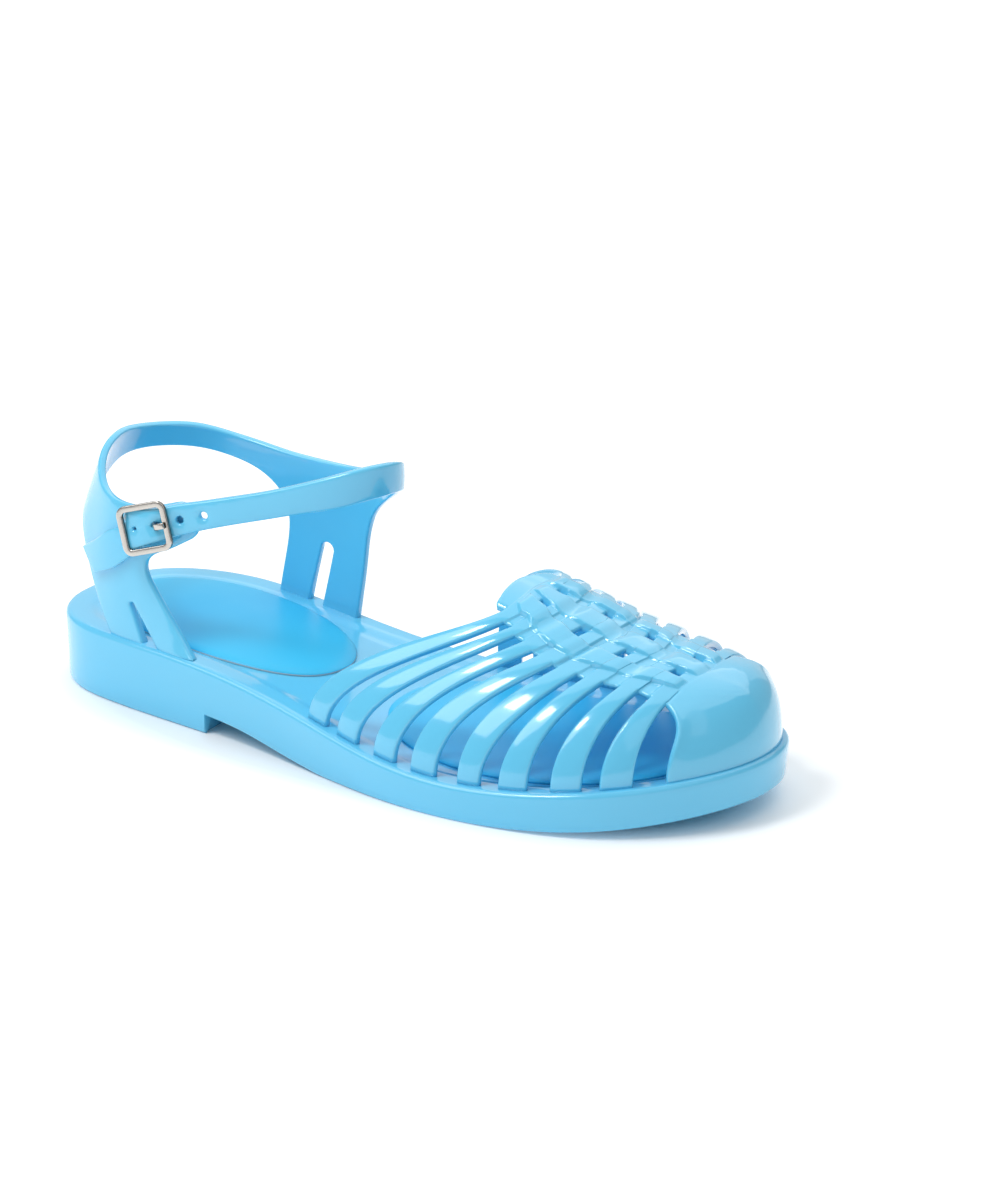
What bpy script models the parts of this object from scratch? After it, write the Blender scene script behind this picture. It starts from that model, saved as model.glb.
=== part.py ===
import math

import bmesh
import bpy
import numpy as np
from mathutils import Vector

for thing in list(bpy.data.objects):
    bpy.data.objects.remove(thing, do_unlink=True)

# Lengths are in millimetres: x from heel to toe, y towards the inner side, z up from the floor.
MM = 0.001
HEEL_END = 1.9
TOE_END = 250.4
BOX_MID_X = 126.15
BOX_MID_Y = -0.35
GAP = 0.3
BASE_GAP = 0.45
FOOT_GAP = 0.6

# Sole sizes
SOLE_COLUMNS = 88
SIDE_TAPER = 1.1
SIDE_FOOT = 1.2
RIM_ROUND = 1.5
RIM_SOFT = 0.5
LEDGE_WIDTH = 5.8
BED_DEPTH = 0.9
BREAST_X = 70.0
BREAST_HEIGHT = 5.9
SPRING_START = 170.0
TOE_SPRING = 7.1
ARCH_CUT_LOW = -5.0
ARCH_CUT_SIDE = 90.0

# Upper sizes
STRAP_WALL = 2.1
STRAP_CROWN = 0.45
PATCH_RISE = 1.25
DIP_WALL = 1.5
STRAP_INSET = 5.2
CAP_INSET = 4.3
ARCH_POWER = {"outer": 2.1, "inner": 3.3}
TONGUE_LENGTH = 7.0
TONGUE_STEPS = (0.07, 0.55, 1.0)
TONGUE_SLOPE = 0.2
TONGUE_SPAN = 1.012
CAP_EXTRA = 0.2
QUARTER_WALL = 2.3
FOOT_WALL = 2.9
FOOT_INSET = 4.7

# Outline of the sole: along the shoe, outer side, inner side
OUTLINE_ROWS = (
    (1.9, 6.0, 6.0),
    (10.0, -13.1, 32.2),
    (20.0, -19.9, 39.2),
    (30.0, -23.0, 42.0),
    (45.0, -26.1, 43.0),
    (60.0, -28.6, 41.3),
    (80.0, -32.1, 38.4),
    (100.0, -36.5, 37.5),
    (120.0, -41.9, 39.3),
    (140.0, -47.2, 43.7),
    (160.0, -50.1, 47.9),
    (180.0, -49.9, 49.5),
    (200.0, -46.8, 48.6),
    (215.0, -41.6, 45.8),
    (230.0, -31.7, 39.5),
    (240.0, -21.0, 31.8),
    (250.4, 6.4, 6.4),
)

# Height of the sole's rim: along the shoe, height
RIM_ROWS = ((1.9, 21.3), (75.0, 21.1), (165.0, 11.65), (210.0, 14.4), (250.4, 19.2))

# Underside of the waist: along the shoe, height
ARCH_ROWS = ((70.0, 5.9), (80.0, 5.3), (90.0, 4.0), (100.0, 2.3), (110.0, 0.9), (119.0, 0.0))

# Ridge of the upper's inner face: along the shoe, sideways, height
RIDGE_ROWS = (
    (158.0, 3.0, 58.2),
    (172.0, 3.0, 55.2),
    (191.0, 3.2, 48.9),
    (207.0, 3.4, 44.6),
    (224.0, 3.8, 41.6),
    (232.0, 4.4, 40.0),
    (240.0, 5.4, 37.6),
)

# Edges of the vamp straps, back and front in turn: outer base, inner base, ridge end, lead power, bow
EDGE_ROWS = (
    (111.1, 132.0, 168.5, 2.6, 3.0),
    (118.8, 139.5, 173.5, 2.96, 0.1),
    (123.6, 143.0, 176.1, 2.52, 2.05),
    (132.2, 150.5, 180.2, 2.7, -0.3),
    (139.5, 154.0, 183.7, 2.09, 1.85),
    (148.3, 162.0, 188.7, 1.89, 2.06),
    (154.7, 165.0, 191.8, 1.46, 3.97),
    (164.2, 173.5, 195.6, 1.72, 2.33),
    (172.2, 177.0, 199.8, 1.15, 2.9),
    (180.2, 185.2, 204.1, 2.04, -1.46),
    (186.5, 189.5, 206.9, 1.59, -0.25),
    (196.1, 198.3, 211.9, 1.25, 0.48),
    (203.5, 204.6, 216.1, 1.15, 0.89),
    (213.1, 213.2, 221.8, 1.09, -0.29),
    (218.3, 218.4, 224.4, 1.31, 0.38),
    (227.3, 226.4, 229.2, 1.0, -0.28),
)
STRAP_COUNT = len(EDGE_ROWS) // 2

# Rises at which each strap edge meets the web, the side patch's low and high edge and the middle patch
BAND_KNOTS = (0.535, 0.63, 0.78, 0.885)
BAND_ROWS = {
    "outer": (
        (0.56, 0.72, 0.877, 0.933), (0.55, 0.66, 0.842, 0.890), (0.56, 0.664, 0.830, 0.872),
        (0.535, 0.632, 0.800, 0.866), (0.545, 0.630, 0.806, 0.870), (0.53, 0.616, 0.779, 0.876),
        (0.533, 0.619, 0.780, 0.889), (0.524, 0.612, 0.764, 0.895), (0.52, 0.610, 0.800, 0.880),
        (0.53, 0.625, 0.778, 0.893), (0.52, 0.628, 0.776, 0.892), (0.534, 0.642, 0.779, 0.902),
        (0.536, 0.640, 0.810, 0.896), (0.535, 0.655, 0.805, 0.892), (0.50, 0.647, 0.777, 0.881),
        (0.50, 0.625, 0.753, 0.871),
    ),
    "inner": (
        (0.535, 0.66, 0.870, 0.955), (0.535, 0.66, 0.870, 0.955), (0.535, 0.66, 0.865, 0.950),
        (0.535, 0.66, 0.855, 0.940), (0.535, 0.65, 0.805, 0.905), (0.535, 0.65, 0.800, 0.907),
        (0.535, 0.65, 0.795, 0.909), (0.535, 0.65, 0.795, 0.913), (0.535, 0.65, 0.775, 0.911),
        (0.535, 0.65, 0.770, 0.911), (0.535, 0.65, 0.765, 0.913), (0.535, 0.65, 0.775, 0.925),
        (0.535, 0.65, 0.810, 0.905), (0.535, 0.65, 0.810, 0.909), (0.535, 0.65, 0.810, 0.920),
        (0.535, 0.65, 0.810, 0.925),
    ),
}
CAP_BASE_X = 235.0
CAP_RIDGE_X = (229.2, 239.0)
CAP_STEPS = (0.0, 0.05, 0.22, 0.42, 0.62, 0.82, 1.0)
CAP_BLEND = 0.22
LEAF_TOP = 0.47
LEAF_BULGE = 1.6

# Even rows of the upper from rim (0) to ridge (1), before they are stretched to the bands
RISE_ROWS = (0.0, 0.004, 0.018, 0.06, 0.134, 0.234, 0.345, 0.47, 0.535, 0.575, 0.62, 0.637, 0.705, 0.773, 0.79,
             0.875, 0.892, 0.945, 1.0)
GAP_TOP = 0.535
SIDE_BAND = (0.637, 0.773)
SLOT = (0.79, 0.875)
MID_BAND = 0.892

# Tongue: foot row and the two powers of its outline
TONGUE_SHAPE = {"outer": (0.575, 5.0, 0.4), "inner": (0.62, 1.6, 0.9)}

# Back strip, inner face at the height STRIP_LEVEL: along, sideways, outward lean, low edge, high edge, cells
STRIP_LEVEL = 70.0
STRIP_ROWS = (
    (58.5, -16.8, 0.10, 57.5, 67.5, 2),
    (52.0, -18.2, 0.12, 53.5, 68.0, 2),
    (45.0, -18.8, 0.14, 47.0, 66.0, 4),
    (34.0, -17.2, 0.16, 42.5, 64.8, 3),
    (24.5, -11.8, 0.17, 38.5, 67.0, 3),
    (18.4, -4.5, 0.30, 53.0, 73.0, 2),
    (16.6, 2.0, 0.33, 61.5, 75.6, 2),
    (16.2, 8.0, 0.34, 65.6, 76.0, 2),
    (17.6, 14.6, 0.34, 66.8, 75.4, 2),
    (22.0, 22.0, 0.31, 66.6, 74.6, 2),
    (30.0, 27.8, 0.26, 66.0, 74.0, 2),
    (40.0, 31.2, 0.20, 64.0, 72.0, 2),
    (50.0, 32.6, 0.17, 61.0, 70.3, 2),
    (57.5, 33.0, 0.16, 57.0, 69.2, 3),
    (73.0, 32.6, 0.15, 54.5, 68.8, 4),
    (91.0, 29.6, 0.12, 58.5, 71.0, 2),
    (101.0, 25.0, 0.05, 65.0, 75.0, 2),
    (107.6, 19.4, 0.0, 70.4, 79.6, 2),
    (112.0, 13.2, 0.0, 74.0, 83.4, 2),
    (113.0, 6.8, 0.0, 75.6, 85.6, 2),
    (110.6, 0.6, 0.0, 75.4, 86.0, 2),
    (104.0, -5.0, 0.0, 73.2, 84.0, 2),
    (95.0, -9.4, 0.0, 71.0, 80.8, 2),
    (84.0, -13.2, 0.02, 68.0, 77.0, 2),
    (70.0, -17.2, 0.06, 64.0, 73.0, 2),
    (60.0, -19.6, 0.10, 60.9, 70.3, 2),
    (53.6, -21.2, 0.12, 58.9, 68.6, 2),
    (47.4, -23.4, 0.14, 56.8, 66.8, 2),
    (41.2, -23.3, 0.15, 54.8, 65.2, 0),
)
STRIP_STEPS = (0.0, 0.3, 0.7, 1.0)
STRIP_END_ROUND = 0.16

# Quarters: first strip row, last strip row, base at the first row, base at the last row, side of the shoe
QUARTER_ROWS = (
    (2, 4, 65.0, 33.5, "outer"),
    (13, 15, 52.5, 82.0, "inner"),
)
QUARTER_SPREAD = (0.0, 0.15, 0.29, 0.425, 0.545, 0.69, 0.85, 1.0)
QUARTER_STEPS = (0.0, 0.16, 0.33, 0.5, 0.68, 0.85, 1.0)
SLOT_CELL = 3
SLOT_ROW = 3

# Pads: middle along, middle sideways, half length, half width, edge height, crown, turn in degrees
PAD_ROWS = {
    "insole_heel_pad": (56.4, 6.9, 45.2, 25.0, 1.1, 2.2, -11.0),
    "insole_forefoot_pad": (178.0, -0.5, 54.0, 36.0, 1.0, 1.6, 0.0),
}
PAD_COLUMNS = 44
PAD_RINGS = ((1.0, 0.0), (1.0, 0.7), (0.975, 1.0), (0.86, 1.0), (0.6, 1.0), (0.3, 1.0))
PAD_POWER = 2.25

# Buckle sizes
FRAME_STATION = 27.2
FRAME_LEVEL = 61.4
FRAME_LENGTH = 16.2
FRAME_HEIGHT = 14.4
FRAME_CORNER = 1.9
FRAME_LIFT = 0.1
FRAME_SPAN = 0.6
FRAME_SLOPE = 1.2
WIRE = 0.85
PRONG_WIRE = 0.6
HOLE_RADIUS = 1.15
HOLE_PITCH = 8.0
PRONG_HOLE = 3.6
PRONG_LOOP = (100.0, 32.0, 7)
HOLE_COUNT = 3
HOLE_CUT = ((-3.4, 1.0), (5.0, 2.0))

# Prong under the strap, from the back bar: along, below the strap
PRONG_UNDER = ((1.4, 0.6), (2.8, 1.5), (5.8, 1.0))
# Prong up its hole, from the hole: along, below the strap
PRONG_RISE = ((-1.2, 0.75), (-0.3, 0.35))
# Prong out of its hole, from the hole: along, outward; then its rest on the front bar
PRONG_TOP = ((0.0, -1.6), (0.3, 0.5))
PRONG_REST = ((1.4, -0.2), (-0.6, 0.1), (1.1, 0.0))

TAB_WALL = 1.9
TAB_ROWS = ((2.92, 47.6, 59.0), (3.3, 43.8, 55.4), (3.7, 39.8, 51.0), (4.02, 36.2, 46.8))
RIVET_STATION = 3.6
RIVET_HEIGHT = 47.0
RIVET_HEAD = 3.0
RIVET_SHANK = 1.25
RIVET_CROWN = (1.6, 0.5)
RIVET_THICK = 0.6
RIVET_SEAT = 1.0
RIVET_CUT = (-3.0, 1.3)


def smooth_curve(knots, values):
    # natural cubic through the knots
    knots = np.array(knots, float)
    values = np.array(values, float)
    steps = np.diff(knots)
    count = len(knots)
    system = np.eye(count)
    right = np.zeros(values.shape)
    for i in range(1, count - 1):
        system[i, i - 1:i + 2] = (steps[i - 1], 2 * (steps[i - 1] + steps[i]), steps[i])
        right[i] = 6 * ((values[i + 1] - values[i]) / steps[i] - (values[i] - values[i - 1]) / steps[i - 1])
    bend = np.linalg.solve(system, right)

    def at(where):
        where = min(max(float(where), knots[0]), knots[-1])
        k = int(min(max(np.searchsorted(knots, where) - 1, 0), count - 2))
        h = steps[k]
        a = (knots[k + 1] - where) / h
        b = (where - knots[k]) / h
        curved = ((a ** 3 - a) * bend[k] + (b ** 3 - b) * bend[k + 1]) * h * h / 6
        return a * values[k] + b * values[k + 1] + curved

    return at


def column(rows, index):
    return [row[index] for row in rows]


def turn_of(x):
    # 0 at the heel's end, 1 at the toe's end
    share = 1 - 2 * (x - HEEL_END) / (TOE_END - HEEL_END)
    return math.acos(min(max(share, -1.0), 1.0)) / math.pi


outer_edge = smooth_curve([turn_of(x) for x in column(OUTLINE_ROWS, 0)], column(OUTLINE_ROWS, 1))
inner_edge = smooth_curve([turn_of(x) for x in column(OUTLINE_ROWS, 0)], column(OUTLINE_ROWS, 2))
rim_height = smooth_curve(column(RIM_ROWS, 0), column(RIM_ROWS, 1))
arch_height = smooth_curve(column(ARCH_ROWS, 0), column(ARCH_ROWS, 1))
ridge_side = smooth_curve(column(RIDGE_ROWS, 0), column(RIDGE_ROWS, 1))
ridge_height = smooth_curve(column(RIDGE_ROWS, 0), column(RIDGE_ROWS, 2))
strip_path = smooth_curve(range(len(STRIP_ROWS)), [row[:5] for row in STRIP_ROWS])


def outline_point(turn):
    # 0 to 1 runs heel to toe on the outer side, 1 to 2 back on the inner side
    turn = turn % 2
    x = (HEEL_END + TOE_END) / 2 - (TOE_END - HEEL_END) / 2 * math.cos(math.pi * turn)
    y = outer_edge(turn) if turn <= 1 else inner_edge(2 - turn)
    return np.array((x, float(y)))


def inset_point(turn, inset):
    step = 0.004
    along = outline_point(turn + step) - outline_point(turn - step)
    along = along / np.linalg.norm(along)
    return outline_point(turn) + inset * np.array((-along[1], along[0]))


def side_turn(x, side):
    return turn_of(x) if side == "outer" else 2 - turn_of(x)


def place(point):
    return Vector(((point[0] - BOX_MID_X) * MM, (point[1] - BOX_MID_Y) * MM, point[2] * MM))


def colour(name, base, rough, metal):
    paint = bpy.data.materials.new(name)
    paint.use_nodes = True
    shader = paint.node_tree.nodes["Principled BSDF"]
    shader.inputs["Base Color"].default_value = (*base, 1.0)
    shader.inputs["Roughness"].default_value = rough
    shader.inputs["Metallic"].default_value = metal
    return paint


part_group = bpy.data.collections.new("strappy_sandal")
cutter_group = bpy.data.collections.new("cutters")
bpy.context.scene.collection.children.link(part_group)
bpy.context.scene.collection.children.link(cutter_group)


def new_object(name, points, faces, paint=None):
    mesh = bpy.data.meshes.new(name)
    mesh.from_pydata([place(point) for point in points], [], faces)
    mesh.validate()
    thing = bpy.data.objects.new(name, mesh)
    if paint is None:
        cutter_group.objects.link(thing)
        thing.hide_render = True
        thing.display_type = "WIRE"
    else:
        part_group.objects.link(thing)
        mesh.materials.append(paint)
    return thing


def face_out(thing):
    shape = bmesh.new()
    shape.from_mesh(thing.data)
    bmesh.ops.recalc_face_normals(shape, faces=shape.faces)
    shape.to_mesh(thing.data)
    shape.free()


def cut(thing, cutter):
    step = thing.modifiers.new("cut_" + cutter.name, "BOOLEAN")
    step.operation = "DIFFERENCE"
    step.solver = "EXACT"
    step.object = cutter


class Sheet:
    # open surface of shared points with a wall at each point, thickened by Solidify
    def __init__(self):
        self.points = []
        self.walls = []
        self.faces = []
        self.named = {}

    def point(self, key, where, wall):
        if key not in self.named:
            self.named[key] = len(self.points)
            self.points.append(where)
            self.walls.append(wall)
        return self.named[key]

    def cell(self, keys):
        ring = []
        for key in keys:
            index = self.named[key]
            if index not in ring:
                ring.append(index)
        if len(ring) > 2:
            self.faces.append(ring)

    def solid(self, name, paint):
        thing = new_object(name, self.points, self.faces, paint)
        most = max(self.walls)
        group = thing.vertex_groups.new(name="wall")
        for index, wall in enumerate(self.walls):
            group.add([index], wall / most, "REPLACE")
        step = thing.modifiers.new("wall", "SOLIDIFY")
        step.thickness = most * MM
        step.offset = 1.0
        step.vertex_group = "wall"
        step.use_even_offset = False
        return thing


plastic = colour("sky_plastic", (0.16, 0.60, 0.86), 0.18, 0.0)
sole_plastic = colour("sole_plastic", (0.15, 0.58, 0.85), 0.2, 0.0)
tab_plastic = colour("tab_plastic", (0.16, 0.60, 0.86), 0.2, 0.0)
back_plastic = colour("back_plastic", (0.16, 0.60, 0.86), 0.18, 0.0)
heel_cover = colour("heel_pad_cover", (0.05, 0.45, 0.82), 0.35, 0.0)
fore_cover = colour("forefoot_pad_cover", (0.05, 0.45, 0.82), 0.35, 0.0)
steel = colour("polished_steel", (0.62, 0.60, 0.57), 0.15, 1.0)
prong_steel = colour("prong_steel", (0.62, 0.60, 0.57), 0.15, 1.0)
rivet_steel = colour("rivet_steel", (0.60, 0.60, 0.60), 0.25, 1.0)


# Sole: rings of the outline from the bottom edge up the side and over the rim into the foot bed
def floor_height(x):
    share = max(0.0, (x - SPRING_START) / (TOE_END - SPRING_START))
    return TOE_SPRING * share ** 2


def bed_height(x):
    return float(rim_height(x)) - BED_DEPTH


SOLE_RINGS = (
    (SIDE_TAPER + SIDE_FOOT, "floor", 0.0),
    (SIDE_TAPER, "floor", SIDE_FOOT),
    (0.0, "rim", -RIM_ROUND - RIM_SOFT),
    (RIM_ROUND / 4, "rim", -RIM_SOFT),
    (RIM_ROUND, "rim", 0.0),
    (LEDGE_WIDTH, "rim", 0.0),
    (LEDGE_WIDTH + BED_DEPTH, "rim", -BED_DEPTH),
)


def build_sole():
    points = []
    faces = []
    count = SOLE_COLUMNS
    for inset, level, lift in SOLE_RINGS:
        for i in range(count):
            x, y = inset_point(2 * i / count, inset)
            height = floor_height(x) if level == "floor" else float(rim_height(x))
            points.append((x, y, height + lift))
    for ring in range(len(SOLE_RINGS) - 1):
        for i in range(count):
            j = (i + 1) % count
            low = ring * count
            faces.append((low + i, low + j, low + count + j, low + count + i))
    top = (len(SOLE_RINGS) - 1) * count
    for start in (0, top):
        for i in range(count // 2):
            ring = (i, i + 1, (count - i - 1) % count, (count - i) % count)
            ring = list(dict.fromkeys(start + k for k in ring))
            faces.append(ring)
    thing = new_object("sole", points, faces, sole_plastic)
    face_out(thing)
    return thing


def build_arch_cutter():
    # the waist's underside as an outline seen from the side, carried across the sole
    spans = np.linspace(BREAST_X, ARCH_ROWS[-1][0], 9)
    side = [(x, float(arch_height(x))) for x in spans]
    side = [(BREAST_X, ARCH_CUT_LOW)] + side + [(ARCH_ROWS[-1][0], ARCH_CUT_LOW)]
    count = len(side)
    points = [(x, reach, z) for reach in (-ARCH_CUT_SIDE, ARCH_CUT_SIDE) for x, z in side]
    faces = [tuple(range(count)), tuple(range(2 * count - 1, count - 1, -1))]
    for i in range(count):
        j = (i + 1) % count
        faces.append((i, count + i, count + j, j))
    cutter = new_object("waist_arch", points, faces)
    face_out(cutter)
    return cutter


# Pads: an oval that follows the foot bed, with a rounded edge and a domed top
def build_pad(name, paint):
    mid_x, mid_y, half_length, half_width, edge, crown, turn = PAD_ROWS[name]
    ahead, aside = math.cos(math.radians(turn)), math.sin(math.radians(turn))
    points = []
    faces = []
    for reach, lift in PAD_RINGS:
        for i in range(PAD_COLUMNS):
            angle = 2 * math.pi * i / PAD_COLUMNS
            c, s = math.cos(angle), math.sin(angle)
            long = reach * half_length * math.copysign(abs(c) ** (2 / PAD_POWER), c)
            wide = reach * half_width * math.copysign(abs(s) ** (2 / PAD_POWER), s)
            x = mid_x + long * ahead - wide * aside
            y = mid_y + long * aside + wide * ahead
            dome = 0.0 if reach == 1.0 else crown * (1 - reach ** 2)
            points.append((x, y, bed_height(x) + GAP + edge * lift + dome))
    points.append((mid_x, mid_y, bed_height(mid_x) + GAP + edge + crown))
    count = PAD_COLUMNS
    for ring in range(len(PAD_RINGS) - 1):
        for i in range(count):
            j = (i + 1) % count
            faces.append((ring * count + i, ring * count + j, (ring + 1) * count + j, (ring + 1) * count + i))
    last = (len(PAD_RINGS) - 1) * count
    for i in range(count):
        faces.append((last + i, last + (i + 1) % count, len(points) - 1))
    for i in range(count // 2):
        ring = dict.fromkeys((i, i + 1, (count - i - 1) % count, (count - i) % count))
        faces.append(list(ring))
    thing = new_object(name, points, faces, paint)
    face_out(thing)
    return thing


# Vamp: each strap's edge is a line from the rim over the arch to the ridge
def arch_point(turn, inset, ridge_x, rise, lead_power, arch_power):
    base_x, base_y = inset_point(turn, inset)
    base_z = float(rim_height(base_x)) + BASE_GAP
    lead = 1 - (1 - rise) ** lead_power
    lift = (1 - (1 - rise) ** arch_power) ** (1 / arch_power)
    x = base_x + (ridge_x - base_x) * lead
    y = base_y + (float(ridge_side(ridge_x)) - base_y) * rise
    z = base_z + (float(ridge_height(ridge_x)) - base_z) * lift
    return np.array((x, y, z))


def edge_rise(side, edge, rise):
    # the even row stretched to this edge's own bands
    return float(np.interp(rise, (0.0, *BAND_KNOTS, 1.0), (0.0, *BAND_ROWS[side][edge], 1.0)))


def edge_point(side, edge, rise):
    outer_base, inner_base, ridge_x, lead_power, bow = EDGE_ROWS[edge]
    base = outer_base if side == "outer" else inner_base
    own = edge_rise(side, edge, rise)
    where = arch_point(side_turn(base, side), STRAP_INSET, ridge_x, own, lead_power, ARCH_POWER[side])
    where[0] += bow * math.sin(math.pi * own) ** 2
    return where


def cap_line(side, step, rise):
    start = turn_of(CAP_BASE_X)
    turn = start + (1 - start) * step
    turn = turn if side == "outer" else 2 - turn
    ridge_x = CAP_RIDGE_X[0] + (CAP_RIDGE_X[1] - CAP_RIDGE_X[0]) * step
    fade = step * step * (3 - 2 * step)
    power = ARCH_POWER[side] + (ARCH_POWER["outer"] - ARCH_POWER[side]) * fade
    return arch_point(turn, CAP_INSET, ridge_x, rise, 1.0, power)


def cap_point(side, step, rise):
    # the cap's first columns run into the last strap above the leaf-shaped gap and bulge round it
    last = len(EDGE_ROWS) - 1
    blend = min(1.0, step / CAP_BLEND)
    last_rise = edge_rise(side, last, rise)
    where = cap_line(side, step, last_rise + (rise - last_rise) * blend)
    share = min(1.0, rise / LEAF_TOP)
    shift = (edge_point(side, last, rise) - cap_line(side, 0.0, last_rise)) * share ** 3
    shift[0] += LEAF_BULGE * math.sin(math.pi * share)
    return where + shift * (1 - blend) ** 2


def vamp_columns():
    # name, first edge, second edge, kind of column; each column lies midway between its two edges
    found = []
    for number in range(STRAP_COUNT):
        back, front = 2 * number, 2 * number + 1
        found.append(((number, 0), back, back, "edge"))
        found.append(((number, 1), back, front, "crown"))
        found.append(((number, 2), front, front, "edge"))
        if number in (1, 3, 5):
            found.append(((number, 3), front, front + 1, "dip"))
    return found


def vamp_wall(kind, rise):
    in_band = SIDE_BAND[0] <= rise <= SIDE_BAND[1] or rise >= MID_BAND
    if kind == "dip":
        return DIP_WALL
    wall = STRAP_WALL
    if rise < GAP_TOP and kind == "crown":
        wall = STRAP_WALL + STRAP_CROWN
    return wall + PATCH_RISE if in_band else wall


def build_vamp():
    sheet = Sheet()

    def key(side, name, row):
        # both sides share the ridge and the toe's middle line
        shared = row == len(RISE_ROWS) - 1 or name == ("cap", len(CAP_STEPS) - 1)
        return ("both" if shared else side, name, row)

    def add_cell(side, left, right, row):
        ring = [key(side, left, row), key(side, right, row), key(side, right, row + 1), key(side, left, row + 1)]
        sheet.cell(ring if side == "outer" else ring[::-1])

    for side in ("outer", "inner"):
        columns = vamp_columns()
        tongue_foot, bend, swell = TONGUE_SHAPE[side]
        for row, rise in enumerate(RISE_ROWS):
            for name, first, second, kind in columns:
                if kind == "dip" and rise < GAP_TOP:
                    continue
                where = (edge_point(side, first, rise) + edge_point(side, second, rise)) / 2
                sheet.point(key(side, name, row), where, vamp_wall(kind, rise))
            for number, step in enumerate(CAP_STEPS):
                if number == 0 and rise >= LEAF_TOP:
                    sheet.named[key(side, ("cap", 0), row)] = sheet.named[key(side, (7, 2), row)]
                    continue
                wall = STRAP_WALL + (CAP_EXTRA if number > 1 else 0.0)
                sheet.point(key(side, ("cap", number), row), cap_point(side, step, rise), wall)
            if rise >= tongue_foot:
                share = 1 - ((1 - rise) / (TONGUE_SPAN - tongue_foot)) ** bend
                reach = TONGUE_LENGTH * share ** swell
                start = edge_point(side, 0, rise)
                for number, part in enumerate(TONGUE_STEPS):
                    along = np.array((-1.0, 0.0, TONGUE_SLOPE)) * reach * part
                    sheet.point(key(side, ("tongue", number), row), start + along, STRAP_WALL)
        order = [name for name, first, second, kind in columns]
        kinds = {name: kind for name, first, second, kind in columns}
        for row in range(len(RISE_ROWS) - 1):
            rise = RISE_ROWS[row]
            for left, right in zip(order, order[1:]):
                joins_straps = left[0] != right[0] or kinds[left] == "dip" or kinds[right] == "dip"
                inside_pair = left[0] != right[0] and left[0] % 2 == 0
                if joins_straps and rise < GAP_TOP:
                    continue
                if inside_pair and rise == SLOT[0]:
                    continue
                add_cell(side, left, right, row)
            caps = [("cap", number) for number in range(len(CAP_STEPS))]
            for left, right in zip(caps, caps[1:]):
                add_cell(side, left, right, row)
            if rise >= tongue_foot:
                chain = [("tongue", 2), ("tongue", 1), ("tongue", 0), (0, 0)]
                for left, right in zip(chain, chain[1:]):
                    add_cell(side, left, right, row)
    return sheet.solid("upper_vamp", plastic)


# Back strip and quarters
def strip_point(station, height, offset=0.0):
    x, y, lean = strip_path(station)[:3]
    ahead = strip_path(min(station + 0.02, len(STRIP_ROWS) - 1))[:2]
    behind = strip_path(max(station - 0.02, 0))[:2]
    along = (ahead - behind) / np.linalg.norm(ahead - behind)
    out = np.array((-along[1], along[0]))
    where = np.array((x, y)) + out * (lean * (STRIP_LEVEL - height) + offset)
    return np.array((where[0], where[1], height))


def strip_stations():
    found = []
    for number, row in enumerate(STRIP_ROWS):
        cells = row[5]
        found.extend(number + k / cells for k in range(cells))
    found.append(len(STRIP_ROWS) - 1)
    return found


def build_back():
    sheet = Sheet()
    stations = strip_stations()
    last = len(stations) - 1
    for i, station in enumerate(stations):
        low, high = strip_path(station)[3:5]
        for row, step in enumerate(STRIP_STEPS):
            height = low + (high - low) * step
            if i in (0, last) and row in (0, len(STRIP_STEPS) - 1):
                height = low + (high - low) * (STRIP_END_ROUND if row == 0 else 1 - STRIP_END_ROUND)
            sheet.point(("strip", i, row), strip_point(station, height), QUARTER_WALL)
    for i in range(last):
        for row in range(len(STRIP_STEPS) - 1):
            sheet.cell([("strip", i, row), ("strip", i, row + 1), ("strip", i + 1, row + 1), ("strip", i + 1, row)])
    for first, final, base_first, base_final, side in QUARTER_ROWS:
        start = stations.index(first)
        for column_number, spread in enumerate(QUARTER_SPREAD):
            top_key = ("strip", start + column_number, 0)
            top = np.array(sheet.points[sheet.named[top_key]])
            base_x = base_first + (base_final - base_first) * spread
            foot = inset_point(side_turn(base_x, side), FOOT_INSET)
            base = np.array((foot[0], foot[1], float(rim_height(foot[0])) + FOOT_GAP))
            for row, step in enumerate(QUARTER_STEPS):
                key = (side, column_number, row)
                if row == 0:
                    sheet.named[key] = sheet.named[top_key]
                    continue
                where = top + (base - top) * step
                wall = QUARTER_WALL + (FOOT_WALL - QUARTER_WALL) * step ** 3
                sheet.point(key, where, wall)
        for column_number in range(len(QUARTER_SPREAD) - 1):
            for row in range(len(QUARTER_STEPS) - 1):
                if column_number == SLOT_CELL and row >= SLOT_ROW:
                    continue
                near, far = column_number, column_number + 1
                sheet.cell([(side, near, row), (side, far, row), (side, far, row + 1), (side, near, row + 1)])
    return sheet.solid("upper_back", back_plastic)


def build_tab():
    sheet = Sheet()
    path = smooth_curve(column(TAB_ROWS, 0), [row[1:] for row in TAB_ROWS])
    stations = np.linspace(TAB_ROWS[0][0], TAB_ROWS[-1][0], 8)
    for i, station in enumerate(stations):
        low, high = path(station)
        for row, step in enumerate((0.0, 0.5, 1.0)):
            height = low + (high - low) * step
            sheet.point((i, row), strip_point(station, height, QUARTER_WALL + GAP), TAB_WALL)
    for i in range(len(stations) - 1):
        for row in range(2):
            sheet.cell([(i, row), (i, row + 1), (i + 1, row + 1), (i + 1, row)])
    return sheet.solid("buckle_tab", tab_plastic)


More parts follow.
